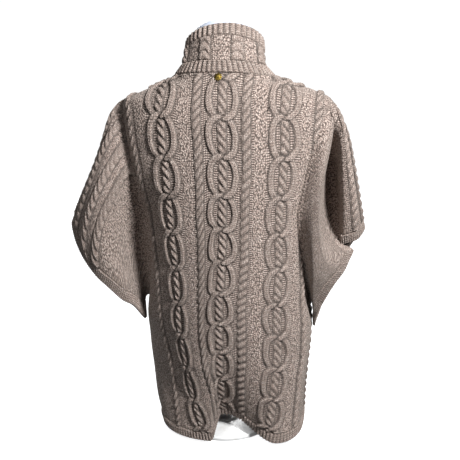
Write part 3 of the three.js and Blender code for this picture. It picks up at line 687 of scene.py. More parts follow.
def armhole_at(rows, hand, t):
    """Points and outward normals of the body along the armhole's edge, t rows round it."""
    n = len(rows.x)
    levels = catmull_rom(rows["z"][:, None], t)[:, 0]
    points, normals = [], []
    for share, z in zip(t, np.clip(levels, rows["z"][0], rows["z"].max())):
        i, k = int(share) % n, (int(share) + 1) % n
        panel = rows["panel"][i] or rows["panel"][k]
        turned = [armhole_angle(rows["z"][row], hand, 0)
                  - armhole_angle(rows["z"][row], hand, panel) if rows["panel"][row] == 0
                  else 0 for row in (i, k)]
        degrees = armhole_angle(z, hand, panel) + turned[0]
        degrees += (turned[1] - turned[0]) * (share - int(share))
        around = section(degrees + np.array([-2, 0, 2]), z)
        above, below = (section(np.array([degrees]), z + step)[0] for step in (2, -2))
        across, up = np.append(around[2] - around[0], 0), np.append(above - below, 4)
        points.append(np.append(around[1], z))
        normals.append(np.cross(across, up))
    normals = np.array(normals)
    return np.array(points), normals / np.linalg.norm(normals, axis=-1, keepdims=True)


def guide_points(rows, name):
    """The points of one of a sleeve's guides, row by row."""
    return np.stack([rows[f"{name}_{k}"] for k in "xyz"], -1)


def way_round(rows):
    """Places round a sleeve's rows and the distance to each along the lower guide, with the
    first place again at the end."""
    t = np.linspace(0, len(rows.x), LOOP_STEPS, endpoint=False)
    loop = catmull_rom(guide_points(rows, "low"), t)
    return np.append(t, len(rows.x)), lengths(np.concatenate([loop, loop[:1]]), 0)


def over_shoulder(rows, hand, count):
    """Which of a sleeve's lines runs over the shoulder."""
    places, along = way_round(rows)
    line = round(np.interp(SHOULDER_ROW[hand], places, along) / along[-1] * count)
    return count - 1 - line if hand > 0 else line


def sleeve_lines(rows, hand, count):
    """Lines of a sleeve from the armhole to the edge of the cuff, all round to the right as
    seen from outside, and the body's normals where they start."""
    guides = [guide_points(rows, name) for name in ("mid", "low", "end")]
    # A puff pushes the cloth outwards and up, a dip pushes it forwards and a little outwards.
    puff = rows["puff"][:, None] * np.array([hand, 0, 0.6])
    dip = rows["dip"][:, None] * np.array([0.35 * hand, 1, 0])
    places, along = way_round(rows)
    t = np.interp(np.arange(count) / count * along[-1], along, places)
    root, normals = armhole_at(rows, hand, t % len(rows.x))
    through = [root] + [catmull_rom(guide, t % len(rows.x)) for guide in guides]
    puff, dip = (catmull_rom(push, t % len(rows.x)) for push in (puff, dip))
    u = np.linspace(0, 1, LINE_STEPS)[:, None, None]
    shares = [0, 0.4, 0.75, 1]
    lines = np.zeros((LINE_STEPS, count, 3))
    for i, guide in enumerate(through):
        weight = np.ones_like(u)
        for j, share in enumerate(shares):
            if j != i:
                weight = weight * (u - share) / (shares[i] - share)
        lines = lines + weight * guide
    for push, crest in ((puff, 0.15), (dip, 0.2)):
        lines = lines + push * (u / crest) * np.exp(1 - u / crest)
    lines = lines.transpose(1, 0, 2)
    start, full, past, end, ease = CAP_EASE[hand]
    share = np.arange(count) / count
    cap = smooth(start, full, share) * (1 - smooth(past, end, share))
    fade = np.exp(-((lengths(lines, 1) / CAP_REACH) ** 2))
    lines = lines + np.array(ease) * (cap[:, None] * fade)[..., None]
    order = -1 if hand > 0 else 1
    return lines[::order], normals[::order]


def neck_normal(degrees):
    """Where the cloth faces at the neck seam."""
    s, c = np.sin(np.radians(degrees)), np.cos(np.radians(degrees))
    normal = np.stack([0.4 * s, -0.93 * c, 0.37 + 0.55 * s * s], -1)
    return normal / np.linalg.norm(normal, axis=-1, keepdims=True)


def neck_at(degrees):
    """Points round the neck seam; 0 is the middle of the back."""
    s, c = np.sin(np.radians(degrees)), np.cos(np.radians(degrees))
    x = NECK_HALF * s
    back = shoulder(x, top_level(x, -1), -1)
    front = shoulder(x, top_level(x, 1), 1)
    return np.where((c > 0)[:, None], back, front)


def ring_at(degrees, level):
    """Points round one ring of the collar."""
    s, c = np.sin(np.radians(degrees)), np.cos(np.radians(degrees))
    of = {name: RINGS.at(name, level) for name in RINGS.columns}
    z = (of["back_z"] + 2 * of["side_z"] + of["front_z"]) / 4
    z = z + (of["back_z"] - of["front_z"]) / 2 * c
    z = z + (of["back_z"] - 2 * of["side_z"] + of["front_z"]) / 4 * np.cos(
        np.radians(2 * degrees))
    y = of["front"] + (of["back"] - of["front"]) * (1 + c) / 2
    x = np.where(s < 0, of["left"], of["right"]) * s
    return np.stack([x, y, z + COLLAR_LEAN * x * (level - 1)], -1)


def collar_lines(count):
    """Lines of the collar from the neck seam to the rim, from one front edge to the other,
    and the distance along each where its three bands part."""
    degrees = np.linspace(COLLAR_OPEN - 180, 180 - COLLAR_OPEN, count)
    fine = 40
    levels = np.linspace(0, 3, 3 * fine + 1)
    first = ring_at(degrees, 1.0)
    neck = neck_at(degrees)
    rings = [neck + (first - neck) * up if up < 1 else ring_at(degrees, up) for up in levels]
    lines = np.array(rings).transpose(1, 0, 2)
    along = lengths(lines, 1)
    return lines, [along[:, k * fine] for k in range(4)]


# ------------------------------------------------------------------ meshes


def normals_of(points, wrap):
    """Outward normals of a grid whose lines follow each other to the right, ends up."""
    across = np.gradient(points, axis=0)
    if wrap:
        across = (np.roll(points, -1, 0) - np.roll(points, 1, 0)) / 2
    up = np.gradient(points, axis=1)
    normal = np.cross(across, up)
    return normal / np.maximum(np.linalg.norm(normal, axis=-1, keepdims=True), 1e-9)


def blurred(values, reach, wrap):
    """Mean over a small square of the grid."""
    for axis in (0, 1):
        mode = "wrap" if wrap and axis == 0 else "edge"
        pad = [(reach + 1, reach) if k == axis else (0, 0) for k in (0, 1)]
        total = np.cumsum(np.pad(values, pad, mode=mode), axis=axis)
        size = 2 * reach + 1
        high = np.take(total, range(size, total.shape[axis]), axis=axis)
        low = np.take(total, range(0, total.shape[axis] - size), axis=axis)
        values = (high - low) / size
    return values


def edge_softness(shape, wrap, step):
    """1 inside a piece, falling towards its open edges so that they are rounded over."""
    rows = np.minimum(np.arange(shape[1]), np.arange(shape[1])[::-1]) * step[1]
    soft = np.sqrt(np.clip(rows / EDGE_ROUND, 0, 1))[None, :] * np.ones(shape)
    if not wrap:
        lines = np.minimum(np.arange(shape[0]), np.arange(shape[0])[::-1]) * step[0]
        soft = np.minimum(soft, np.sqrt(np.clip(lines / EDGE_ROUND, 0, 1))[:, None])
    return soft


def coarse(count, stride, wrap):
    """The lines or rows that the inner side of a wall keeps."""
    marks = list(range(0, count, stride))
    if wrap:
        return marks
    if marks[-1] != count - 1:
        marks.append(count - 1)
    return marks


def wall_faces(m, n, wrap, stride):
    """Faces of a closed wall: fine outside and rims, coarse inside. Outer vertices come
    first. Returns the faces and the grid places of the inner vertices."""
    last = m if wrap else m - 1
    i, j = np.meshgrid(np.arange(last), np.arange(n - 1), indexing="ij")
    k = (i + 1) % m
    faces = np.stack([i * n + j, k * n + j, k * n + j + 1, i * n + j + 1], -1)
    faces = faces.reshape(-1, 4).tolist()
    lines, rows = coarse(m, stride, wrap), coarse(n, stride, False)
    inner = {}

    def at(i, j):
        i %= m
        if (i, j) not in inner:
            inner[(i, j)] = m * n + len(inner)
        return inner[(i, j)]

    for i in range(last):
        k = (i + 1) % m
        faces.append([i * n, at(i, 0), at(k, 0), k * n])
        faces.append([i * n + n - 1, k * n + n - 1, at(k, n - 1), at(i, n - 1)])
    if not wrap:
        for j in range(n - 1):
            faces.append([j, j + 1, at(0, j + 1), at(0, j)])
            low = (m - 1) * n + j
            faces.append([low, at(m - 1, j), at(m - 1, j + 1), low + 1])
    ends = lines[1:] + ([m] if wrap else [])
    for i0, i1 in zip(lines, ends):
        for j0, j1 in zip(rows, rows[1:]):
            fine_low, fine_high = j0 == 0, j1 == n - 1
            fine_left, fine_right = (not wrap and i0 == 0), (not wrap and i1 == m - 1)
            left = range(j0, j1) if fine_left else [j0]
            top = range(i0, i1) if fine_high else [i0]
            right = range(j1, j0, -1) if fine_right else [j1]
            low = range(i1, i0, -1) if fine_low else [i1]
            face = [at(i0, j) for j in left] + [at(i, j1) for i in top]
            face += [at(i1, j) for j in right] + [at(i, j0) for i in low]
            faces.append(face)
    return faces, list(inner)


def new_object(name, vertices, faces, material, attributes=None):
    """A smooth mesh from points in millimetres, with values on its points."""
    mesh = bpy.data.meshes.new(name)
    mesh.from_pydata((np.asarray(vertices) * MM).tolist(), [], faces)
    mesh.update()
    for key, values in (attributes or {}).items():
        kind = "FLOAT" if np.ndim(values) == 1 else "FLOAT_VECTOR"
        layer = mesh.attributes.new(key, kind, "POINT")
        layer.data.foreach_set("value" if kind == "FLOAT" else "vector",
                               np.asarray(values, np.float32).ravel())
    mesh.shade_smooth()
    mesh.materials.append(material)
    made = bpy.data.objects.new(name, mesh)
    bpy.context.collection.objects.link(made)
    return made


def sewn(normal, points, seams, reach=14.0):
    """Turns the normals of the cloth beside a seam to those of the piece it is sewn to."""
    along = lengths(points, 1)
    for end, seam in seams.items():
        away = along if end == "root" else along[:, -1:] - along
        share = (1 - smooth(0, reach, away))[..., None]
        known = (np.abs(seam).sum(-1) > 0)[:, None, None]
        turned = normal * (1 - share) + seam[:, None, :] * share
        turned = turned / np.maximum(np.linalg.norm(turned, axis=-1, keepdims=True), 1e-9)
        normal = np.where(known, turned, normal)
    return normal


def knitted(name, points, relief, wrap, material, stride=4, seams=None):
    """A knitted wall on a grid of points, with its cables standing out."""
    step = (lengths(points, 0)[-1].mean() / len(points), lengths(points, 1)[:, -1].mean()
            / points.shape[1])
    normal = sewn(normals_of(points, wrap), points, seams or {})
    soft = edge_softness(points.shape[:2], wrap, step)
    height = relief.height * soft - GROUND - (1 - soft) * EDGE_DROP
    outer = points + normal * height[..., None]
    inner = points - normal * INSIDE
    faces, places = wall_faces(*points.shape[:2], wrap, stride)
    picked = tuple(np.array(places).T)
    # Painted shade in the creases and beside the cables: darker where the blurred knit stands
    # above the place, and never lighter than the relief's own painted shade.
    depths = [(blurred(relief.height, max(1, round(reach / max(step))), wrap)
               - relief.height) / full for reach, full in HOLLOWS]
    hollow = np.clip(np.maximum(*depths), relief.shade, 1)
    stitch = np.stack([relief.a, relief.b, relief.kind], -1)
    inside = np.stack([relief.across[picked], relief.repeats[picked] * REPEAT,
                       np.full(len(places), PURL)], -1)
    # The inner side of the cloth carries an even painted shade of 0.25.
    values = {
        "stitch": np.concatenate([stitch.reshape(-1, 3), inside]),
        "hollow": np.concatenate([hollow.ravel(), np.full(len(places), 0.25)]),
    }
    vertices = np.concatenate([outer.reshape(-1, 3), inner[picked]])
    return new_object(name, vertices, faces, material, values)


def declare(piece, node, points, wrap, with_pieces=()):
    """The piece stands for its node and rides on the part."""
    if wrap:
        points = np.concatenate([points, points[:1]])
    one, two = points[1:, 1:] - points[:-1, :-1], points[:-1, 1:] - points[1:, :-1]
    area = float(np.linalg.norm(np.cross(one, two), axis=-1).sum()) / 2 * MM * MM
    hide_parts(node)
    for made in (piece, *with_pieces):
        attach(made, "root")


# ------------------------------------------------------------------ finishes


def linear(colour):
    """A linear colour from six hex digits of sRGB."""
    parts = [int(colour[k:k + 2], 16) / 255 for k in (0, 2, 4)]
    return tuple(v / 12.92 if v <= 0.04045 else ((v + 0.055) / 1.055) ** 2.4 for v in parts)


class Finish:
    """The nodes of one material, added one at a time."""

    def __init__(self, name):
        self.material = bpy.data.materials.new(name)
        self.material.use_nodes = True
        self.tree = self.material.node_tree
        self.tree.nodes.clear()
        self.shader = self.add("ShaderNodeBsdfPrincipled")
        output = self.add("ShaderNodeOutputMaterial")
        self.tree.links.new(self.shader.outputs[0], output.inputs[0])

    def add(self, kind, inputs=None, **settings):
        """A new node with its settings, and its inputs by number or name."""
        node = self.tree.nodes.new(kind)
        for key, value in settings.items():
            setattr(node, key, value)
        for key, value in (inputs or {}).items():
            self.put(node.inputs[key], value)
        return node

    def put(self, socket, value):
        """Links another node's output to a socket, or sets a plain value."""
        if isinstance(value, bpy.types.NodeSocket):
            self.tree.links.new(value, socket)
        else:
            socket.default_value = value

    def sum(self, operation, *values):
        """The result of one arithmetic operation."""
        inputs = dict(enumerate(values))
        return self.add("ShaderNodeMath", inputs, operation=operation).outputs[0]

    def spread(self, value, low, high, to_low=0.0, to_high=1.0):
        """A value mapped from one range to another, held at the ends."""
        inputs = {0: value, 1: low, 2: high, 3: to_low, 4: to_high}
        return self.add("ShaderNodeMapRange", inputs).outputs[0]

    def mix(self, factor, one, two):
        node = self.add("ShaderNodeMix", data_type="RGBA")
        for key, value in ((0, factor), (6, one), (7, two)):
            if isinstance(value, tuple) and len(value) == 3:
                value = (*value, 1)
            self.put(node.inputs[key], value)
        return node.outputs[2]

    def noise(self, scale, detail=2.0):
        where = self.add("ShaderNodeTexCoord").outputs["Object"]
        inputs = {"Vector": where, "Scale": scale, "Detail": detail, "Roughness": 0.6}
        return self.add("ShaderNodeTexNoise", inputs).outputs[0]

    def bump(self, height, distance, strength=1.0):
        node = self.add("ShaderNodeBump")
        for key, value in (("Height", height), ("Distance", distance), ("Strength", strength)):
            self.put(node.inputs[key], value)
        self.put(self.shader.inputs["Normal"], node.outputs[0])

    def set(self, **values):
        """Sets or links the shader's own inputs."""
        for key, value in values.items():
            if isinstance(value, tuple) and len(value) == 3:
                value = (*value, 1)
            self.put(self.shader.inputs[key.replace("_", " ")], value)


def wool(name, knit):
    """Soft heathered wool in a mushroom brown: pale and dark fibres are spun into each strand,
    and the strands lie in columns of little Vs or in the scattered grains of moss stitch.
    Painted shade darkens the gaps between stitches and the recesses beside the cables."""
    if name in bpy.data.materials:
        return bpy.data.materials[name]
    wool = Finish(name)
    stitch = wool.add("ShaderNodeAttribute", attribute_name="stitch").outputs["Vector"]
    split = wool.add("ShaderNodeSeparateXYZ", {0: stitch})
    across, up, kind = split.outputs
    # The painted shade for creases and cable recesses, carried on the mesh.
    hollow = wool.add("ShaderNodeAttribute", attribute_name="hollow").outputs["Fac"]
    turn = 2 * math.pi

    # Plain: columns of Vs, two legs to a column, leaning in towards its middle.
    column = wool.sum("SUBTRACT", wool.sum("FRACT", wool.sum("DIVIDE", across, WALE)), 0.5)
    legs = wool.sum("ABSOLUTE", wool.sum("SINE", wool.sum("MULTIPLY", column, turn)))
    lean = wool.sum("MULTIPLY", wool.sum("ABSOLUTE", column), 1.1)
    row = wool.sum("ADD", wool.sum("DIVIDE", up, COURSE), lean)
    loops = wool.spread(wool.sum("COSINE", wool.sum("MULTIPLY", row, turn)), -1, 1, 0.3, 1)
    plain = wool.sum("MULTIPLY", wool.sum("POWER", legs, 0.6), loops)

    # Purl: rows of short bumps lying across the cloth.
    bar = wool.spread(wool.sum("COSINE", wool.sum("MULTIPLY", up, turn / 4.4)), -1, 1)
    end = wool.spread(wool.sum("COSINE", wool.sum("MULTIPLY", across, turn / 4.0)), -1, 1,
                      0.45, 1)
    purl = wool.sum("MULTIPLY", bar, end)

    # Moss: grains that never line up for long, each standing a little different.
    spot = wool.add("ShaderNodeCombineXYZ", {0: wool.sum("DIVIDE", across, 3.3),
                                             1: wool.sum("DIVIDE", up, 4.4)}).outputs[0]
    grains = wool.add("ShaderNodeTexVoronoi", {"Vector": spot, "Scale": 1.0,
                                               "Randomness": 0.8}, voronoi_dimensions="2D")
    grain = wool.spread(grains.outputs["Distance"], 0.68, 0.0)
    luck = wool.add("ShaderNodeSeparateXYZ", {0: grains.outputs["Color"]}).outputs[0]
    moss = wool.sum("MULTIPLY", grain, wool.spread(luck, 0, 1, 0.5, 0.95))

    height = wool.add("ShaderNodeMix", {0: wool.spread(kind, 0, PURL), 2: plain,
                                        3: purl}).outputs[0]
    height = wool.add("ShaderNodeMix", {0: wool.spread(kind, PURL, MOSS), 2: height,
                                        3: moss}).outputs[0]

    fibre = wool.noise(520, 3)
    fleck = wool.noise(260, 2)
    cloud = wool.noise(14, 2)
    colour = wool.mix(wool.spread(fleck, 0.46, 0.62), tuple(knit.yarn), tuple(knit.pale_fleck))
    colour = wool.mix(wool.spread(fibre, 0.50, 0.34), colour, tuple(knit.dark_fleck))
    colour = wool.mix(wool.spread(cloud, 0.35, 0.7, 0, 0.35), colour, tuple(knit.yarn))
    # Painted shade: the low places of the stitch pattern (gaps between legs, purl bars, moss
    # grains) are mixed towards the shade colour.
    between = wool.spread(height, 0.05, 0.7, knit.gap_shade, 0)
    colour = wool.mix(between, colour, tuple(knit.shadow))
    # Painted shade in the recesses beside the cables, dotted along the rows of stitches.
    rows = wool.spread(wool.sum("COSINE", wool.sum("MULTIPLY", up, turn / COURSE)), -1, 1,
                       0.45, 1)
    deep = wool.sum("MULTIPLY", wool.sum("MULTIPLY", hollow, rows), knit.hollow_shade)
    colour = wool.mix(deep, colour, tuple(knit.shadow))
    wool.set(Base_Color=colour, Roughness=0.92, Specular_IOR_Level=0.25, Sheen_Weight=0.25,
             Sheen_Roughness=0.6, Sheen_Tint=linear("cfc4ba"))
    fuzz = wool.sum("MULTIPLY", fibre, 0.45)
    wool.bump(wool.sum("ADD", height, fuzz), 0.0016)
    return wool.material


def brass(stand):
    """Old brass: rubbed bright on the edges, brown-green where polish has not reached."""
    brass = Finish("antique_brass")
    tarnish = brass.spread(brass.noise(420, 3), 0.4, 0.62)
    worn = brass.add("ShaderNodeNewGeometry").outputs["Pointiness"]
    edge = brass.spread(worn, 0.5, 0.56)
    colour = brass.mix(tarnish, tuple(stand.brass), linear("3d3518"))
    colour = brass.mix(edge, colour, linear("b59a4c"))
    brass.set(Base_Color=colour, Metallic=1.0,
              Roughness=brass.spread(tarnish, 0, 1, 0.32, 0.6))
    brass.bump(brass.noise(900, 2), 0.0002)
    return brass.material


def shell(stand):
    """Matt moulded plastic with a faint orange-peel skin and a few soft scuffs."""
    shell = Finish("moulded_plastic")
    scuff = shell.spread(shell.noise(30, 4), 0.52, 0.75, 0, 0.5)
    colour = shell.mix(scuff, tuple(stand.shell), linear("ccd2dc"))
    shell.set(Base_Color=colour, Roughness=shell.spread(scuff, 0, 0.5, 0.42, 0.58),
              Specular_IOR_Level=0.45)
    shell.bump(shell.noise(900, 1), 0.0002, 0.6)
    return shell.material


def painted_steel(stand):
    """Smooth powder-coated steel, slightly rubbed and dusty."""
    steel = Finish("powder_coat")
    dust = steel.spread(steel.noise(55, 4), 0.5, 0.8, 0, 0.6)
    colour = steel.mix(dust, tuple(stand.paint), linear("d3d0ca"))
    steel.set(Base_Color=colour, Roughness=steel.spread(dust, 0, 0.6, 0.34, 0.5),
              Coat_Weight=0.15)
    steel.bump(steel.noise(1500, 1), 0.00012, 0.5)
    return steel.material


# ------------------------------------------------------------------ sizes and colours


def colour_property(name, description, default):
    return FloatVectorProperty(name=name, description=description, subtype="COLOR", size=3,
                               min=0, max=1, default=linear(default))


def length_property(name, description, default, **limits):
    return FloatProperty(name=name, description=description, unit="LENGTH", default=default,
                         **limits)


def share_property(name, description, default):
    return FloatProperty(name=name, description=description, subtype="FACTOR", min=0, max=1,
                         default=default)


class CardiganKnit(bpy.types.PropertyGroup):
    yarn: colour_property("Yarn", "Main colour of the heathered wool", "b5a298")
    pale_fleck: colour_property(
        "Pale fibres", "Lightest fibres spun into the yarn", "ddcdc3")
    dark_fleck: colour_property(
        "Dark fibres", "Darkest fibres spun into the yarn", "85736b")
    # The colour of the painted shade between stitches and beside the cables, and how strongly
    # each is painted.
    shadow: colour_property(
        "Between strands", "Colour deep between stitches and cables", "1d1612")
    gap_shade: share_property(
        "Stitch shade", "How dark the gaps between stitches are", 0.85)
    hollow_shade: share_property(
        "Cable shade", "How dark the hollows beside the cables are", 0.88)
    hem_pitch: length_property("Hem rib", "Width of one rib of the hem", 0.008)
    cuff_pitch: length_property("Cuff rib", "Width of one rib of the cuffs", 0.005)
    collar_pitch: length_property(
        "Collar rib", "Width of one rib at the collar's rim", 0.0115)
    grid: length_property("Detail", "Distance between the points of the knitted mesh", 0.002)


class CardiganStand(bpy.types.PropertyGroup):
    shell: colour_property("Dress form", "Colour of the form's plastic", "c6cede")
    paint: colour_property("Stand", "Colour of the painted stand", "eceded")
    brass: colour_property("Stud", "Colour of the brass stud", "665626")
    sides: IntProperty(
        name="Smoothness", description="Number of facets round the form and its stand",
        default=96, min=16, max=256)


class CardiganStage(bpy.types.PropertyGroup):
    floor: colour_property("Floor", "Colour of the studio floor", "bcbcbc")
    ambient: FloatProperty(
        name="Ambient light", description="Strength of the light from all round",
        default=0.03, min=0)
    key_light: FloatProperty(
        name="Key light", description="Power of the round lamp beside the right shoulder",
        unit="POWER", default=70.0, min=0)
    key_size: length_property("Key size", "Width of the round lamp", 0.4, min=0.01)
    fill_light: FloatProperty(
        name="Fill light", description="Strength of the soft light from the left",
        default=0.62, min=0)
    front_light: FloatProperty(
        name="Front light", description="Strength of the soft light on the open front",
        default=2.8, min=0)
    azimuth: FloatProperty(
        name="Azimuth", description="Camera's place round the object", subtype="ANGLE",
        default=math.radians(9))
    elevation: FloatProperty(
        name="Elevation", description="Camera's height above the horizon", subtype="ANGLE",
        default=math.radians(14))
    distance: length_property(
        "Distance", "Level distance of the camera from the object", 1.6)


# ------------------------------------------------------------------ the pieces


def even(length, step):
    """How many points stand along a length at about this step."""
    return max(3, round(length / step) + 1)


def ribbed(name, points, across, up, wrap, pitch, rise, knit, seams=None):
    """A ribbed wall on a grid of points."""
    relief = Relief(across, up / REPEAT)
    relief.rib(pitch, rise)
    return knitted(name, points, relief, wrap, wool("rib_knit_wool", knit), seams=seams)


def panel_with_hem(context, node, hand, panel, width):
    """Knits the back or a front, with cables all over, and its ribbed hem."""
    knit = context.scene.cardigan_knit
    grid = knit.grid / MM
    count = even(width, grid)
    lines, wales = body_lines(panel, hand, count)
    rows = even(PANEL_LENGTH, grid * ROW_STEP)
    points, across, up = cut(lines, wales, HEM_BAND + SEAM, -SEAM, rows)
    relief = Relief(across, repeats_of(across, up, panel))
    relief.columns(BACK_LAYOUT if panel < 0 else FRONT_LAYOUT)
    place = np.clip(points[:, -1, 0] / NECK_HALF, -1, 1)
    degrees = np.degrees(np.arcsin(place))
    neck = neck_normal(degrees if panel < 0 else 180 - degrees)
    neck[np.abs(place) >= 1] = 0
    piece = knitted("knitted_" + node, points, relief, False, wool("cable_knit_wool", knit),
                    seams={"top": neck})
    declare(piece, node, points, False)

    lines, wales = body_lines(panel, hand, round(count * HEM_FINER))
    points, across, up = cut(lines, wales, 0, HEM_BAND, HEM_ROWS)
    hem = ribbed("ribbed_hem_" + node, points, across, up, False, knit.hem_pitch / MM,
                 HEM_RIB, knit)
    declare(hem, "hem_" + node, points, False)


class CARDIGAN_OT_back(bpy.types.Operator):
    """Knits the back with its three columns of cables, and its ribbed hem"""

    bl_idname = "cardigan.back"
    bl_label = "Back and hem"

    def execute(self, context):
        panel_with_hem(context, "back", 0, -1, BACK_WIDTH)
        return {"FINISHED"}


class CARDIGAN_OT_fronts(bpy.types.Operator):
    """Knits the two fronts and their ribbed hems"""

    bl_idname = "cardigan.fronts"
    bl_label = "Fronts and hems"

    def execute(self, context):
        panel_with_hem(context, "front_left", -1, 1, FRONT_WIDTH)
        panel_with_hem(context, "front_right", 1, 1, FRONT_WIDTH)
        return {"FINISHED"}


class CARDIGAN_OT_front_bands(bpy.types.Operator):
    """Knits the ribbed bands along the open front edges"""

    bl_idname = "cardigan.front_bands"
    bl_label = "Front bands"

    def execute(self, context):
        knit = context.scene.cardigan_knit
        for hand, side in ((-1, "left"), (1, "right")):
            lines, wales = body_lines(1, hand, BAND_LINES, (0.0, FRONT_BAND))
            points, across, up = cut(lines, wales, 0, -SEAM, BAND_ROWS)
            node = "front_band_" + side
            band = ribbed("ribbed_" + node, points, across, up, False, FRONT_PITCH,
                          FRONT_RIB, knit)
            declare(band, node, points, False)
        return {"FINISHED"}


def round_top(points, top):
    """Signed distance round each row of a sleeve from its line over the shoulder."""
    closed = np.concatenate([points, points[:1]])
    along = lengths(closed, 0)
    whole = along[-1]
    across = along[:-1] - along[top]
    return (across + whole / 2) % whole - whole / 2


class CARDIGAN_OT_sleeves(bpy.types.Operator):
    """Knits the wide cape sleeves and their ribbed cuffs"""

    bl_idname = "cardigan.sleeves"
    bl_label = "Sleeves and cuffs"

    def execute(self, context):
        knit = context.scene.cardigan_knit
        for hand, side, rows, layout in ((-1, "left", LEFT_SLEEVE, LEFT_SLEEVE_LAYOUT),
                                         (1, "right", RIGHT_SLEEVE, RIGHT_SLEEVE_LAYOUT)):
            lines, normals = sleeve_lines(rows, hand, SLEEVE_LINES)
            empty = np.zeros(lines.shape[:2])
            points, _, up = cut(lines, empty, SEAM, -CUFF_BAND - SEAM, SLEEVE_ROWS)
            top = over_shoulder(rows, hand, SLEEVE_LINES)
            relief = Relief(round_top(points, top), up / REPEAT)
            relief.columns(layout)
            relief.height *= 0.3 + 0.7 * smooth(0, FLAT_HEAD, up)
            node = "sleeve_" + side
            piece = knitted("knitted_" + node, points, relief, True,
                            wool("cable_knit_wool", knit), seams={"root": normals})
            declare(piece, node, points, True)
            self.cuff(knit, side, rows, hand)
        return {"FINISHED"}

    def cuff(self, knit, side, rows, hand):
        """Knits one cuff, with a whole number of ribs all round."""
        points = []
        for line in sleeve_lines(rows, hand, CUFF_LINES)[0]:
            along = lengths(line, 0)
            at = np.linspace(along[-1] - CUFF_BAND, along[-1], CUFF_ROWS)
            points.append(points_at(line, along, at))
        points = np.array(points)
        along = lengths(np.concatenate([points, points[:1]]), 0).mean(1)
        pitch = knit.cuff_pitch / MM
        ribs = round(along[-1] / pitch)
        across = np.repeat((along[:-1] / along[-1] * ribs * pitch)[:, None], CUFF_ROWS, 1)
        up = np.repeat(np.linspace(0, CUFF_BAND, CUFF_ROWS)[None, :], len(points), 0)
        cuff = ribbed("ribbed_cuff_" + side, points, across, up, True, pitch, CUFF_RIB, knit)
        declare(cuff, "cuff_" + side, points, True)


class CARDIGAN_OT_collar(bpy.types.Operator):
    """Knits the tall collar: a ribbed foot, a cabled band and a ribbed rim"""

    bl_idname = "cardigan.collar"
    bl_label = "Collar"

    def execute(self, context):
        knit = context.scene.cardigan_knit
        lines, marks = collar_lines(COLLAR_LINES)
        seam = neck_normal(np.linspace(COLLAR_OPEN - 180, 180 - COLLAR_OPEN, COLLAR_LINES))
        bands = (("collar_base_rib", BASE_PITCH), ("collar", 0),
                 ("collar_top_rib", knit.collar_pitch / MM))
        for level, ((node, pitch), rows) in enumerate(zip(bands, COLLAR_ROWS)):
            points = []
            for line, start, stop in zip(lines, marks[level], marks[level + 1]):
                at = np.linspace(start + SEAM, stop, rows)
                points.append(points_at(line, lengths(line, 0), at))
            points = np.array(points)
            top = lengths(points, 0)[:, -1]
            across = np.repeat((top - top[COLLAR_LINES // 2])[:, None], rows, 1)
            up = lengths(points, 1)
            seams = {} if level else {"root": seam}
            name = ("ribbed_" if pitch else "knitted_") + node
            if pitch:
                piece = ribbed(name, points, across, up, False, pitch, COLLAR_RIB, knit, seams)
            else:
                relief = Relief(across, up / REPEAT)
                relief.columns(COLLAR_LAYOUT)
                piece = knitted(name, points, relief, False, wool("cable_knit_wool", knit),
                                seams=seams)
            declare(piece, node, points, False)
        return {"FINISHED"}


def ring_faces(rings, count, capped=True):
    """Faces between closed rings of points, and over the first and last where capped."""
    faces = []
    for k in range(rings - 1):
        for i in range(count):
            j = (i + 1) % count
            faces.append([k * count + i, k * count + j, (k + 1) * count + j,
                          (k + 1) * count + i])
    if capped:
        faces.append(list(range(count))[::-1])
        faces.append([(rings - 1) * count + i for i in range(count)])
    return faces


def turned(name, profile, sides, material):
    """A solid of revolution about +Z from (radius, height) pairs in millimetres."""
    angle = np.linspace(0, 2 * math.pi, sides, endpoint=False)
    vertices = [(radius * math.cos(t), radius * math.sin(t), height)
                for radius, height in profile for t in angle]
    return new_object(name, vertices, ring_faces(len(profile), sides), material)


def lofted(name, rings, material):
    """A closed skin through rings of points, with a fan on each end."""
    n = len(rings[0])
    vertices = [p for ring in rings for p in ring]
    vertices += [np.mean(rings[0], 0), np.mean(rings[-1], 0)]
    faces = ring_faces(len(rings), n, capped=False)
    low, high, last = len(vertices) - 2, len(vertices) - 1, (len(rings) - 1) * n
    for i in range(n):
        j = (i + 1) % n
        faces.append([low, j, i])
        faces.append([high, last + i, last + j])
    return new_object(name, vertices, faces, material)


def keep(piece, node):
    """A hard piece stands for its node and rides on the part."""
    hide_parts(node)
    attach(piece, "root")


class CARDIGAN_OT_form(bpy.types.Operator):
    """Moulds the limbless dress form and its neck cap"""

    bl_idname = "cardigan.form"
    bl_label = "Dress form"

    def execute(self, context):
        stand = context.scene.cardigan_stand
        skin = shell(stand)
        angle = np.linspace(0, 2 * math.pi, stand.sides, endpoint=False)
        rings = []
        for step in np.linspace(0, FORM["step"][-1], FORM_RINGS):
            of = {name: FORM.at(name, step) for name in FORM.columns}
            s = signed_power(np.sin(angle), 2 / of["round"])
            c = signed_power(np.cos(angle), 2 / of["round"])
            rings.append(np.stack([of["half_width"] * s, of["y"] - of["half_depth"] * c,
                                   of["z"] + of["tilt"] * c], -1))
        keep(lofted("form_shell", rings, skin), "form_torso")
        rings = []
        for rise in np.linspace(0, math.radians(89), CAP_RINGS):
            shrink = math.cos(rise)
            rings.append(np.stack([
                CAP["half_width"] * shrink * np.sin(angle),
                CAP["y"] - CAP["half_depth"] * shrink * np.cos(angle),
                CAP["z"] + SEAM + CAP["tilt"] * shrink * np.cos(angle)
                + CAP["rise"] * math.sin(rise)], -1))
        keep(lofted("form_cap", rings, skin), "form_neck_cap")
        return {"FINISHED"}


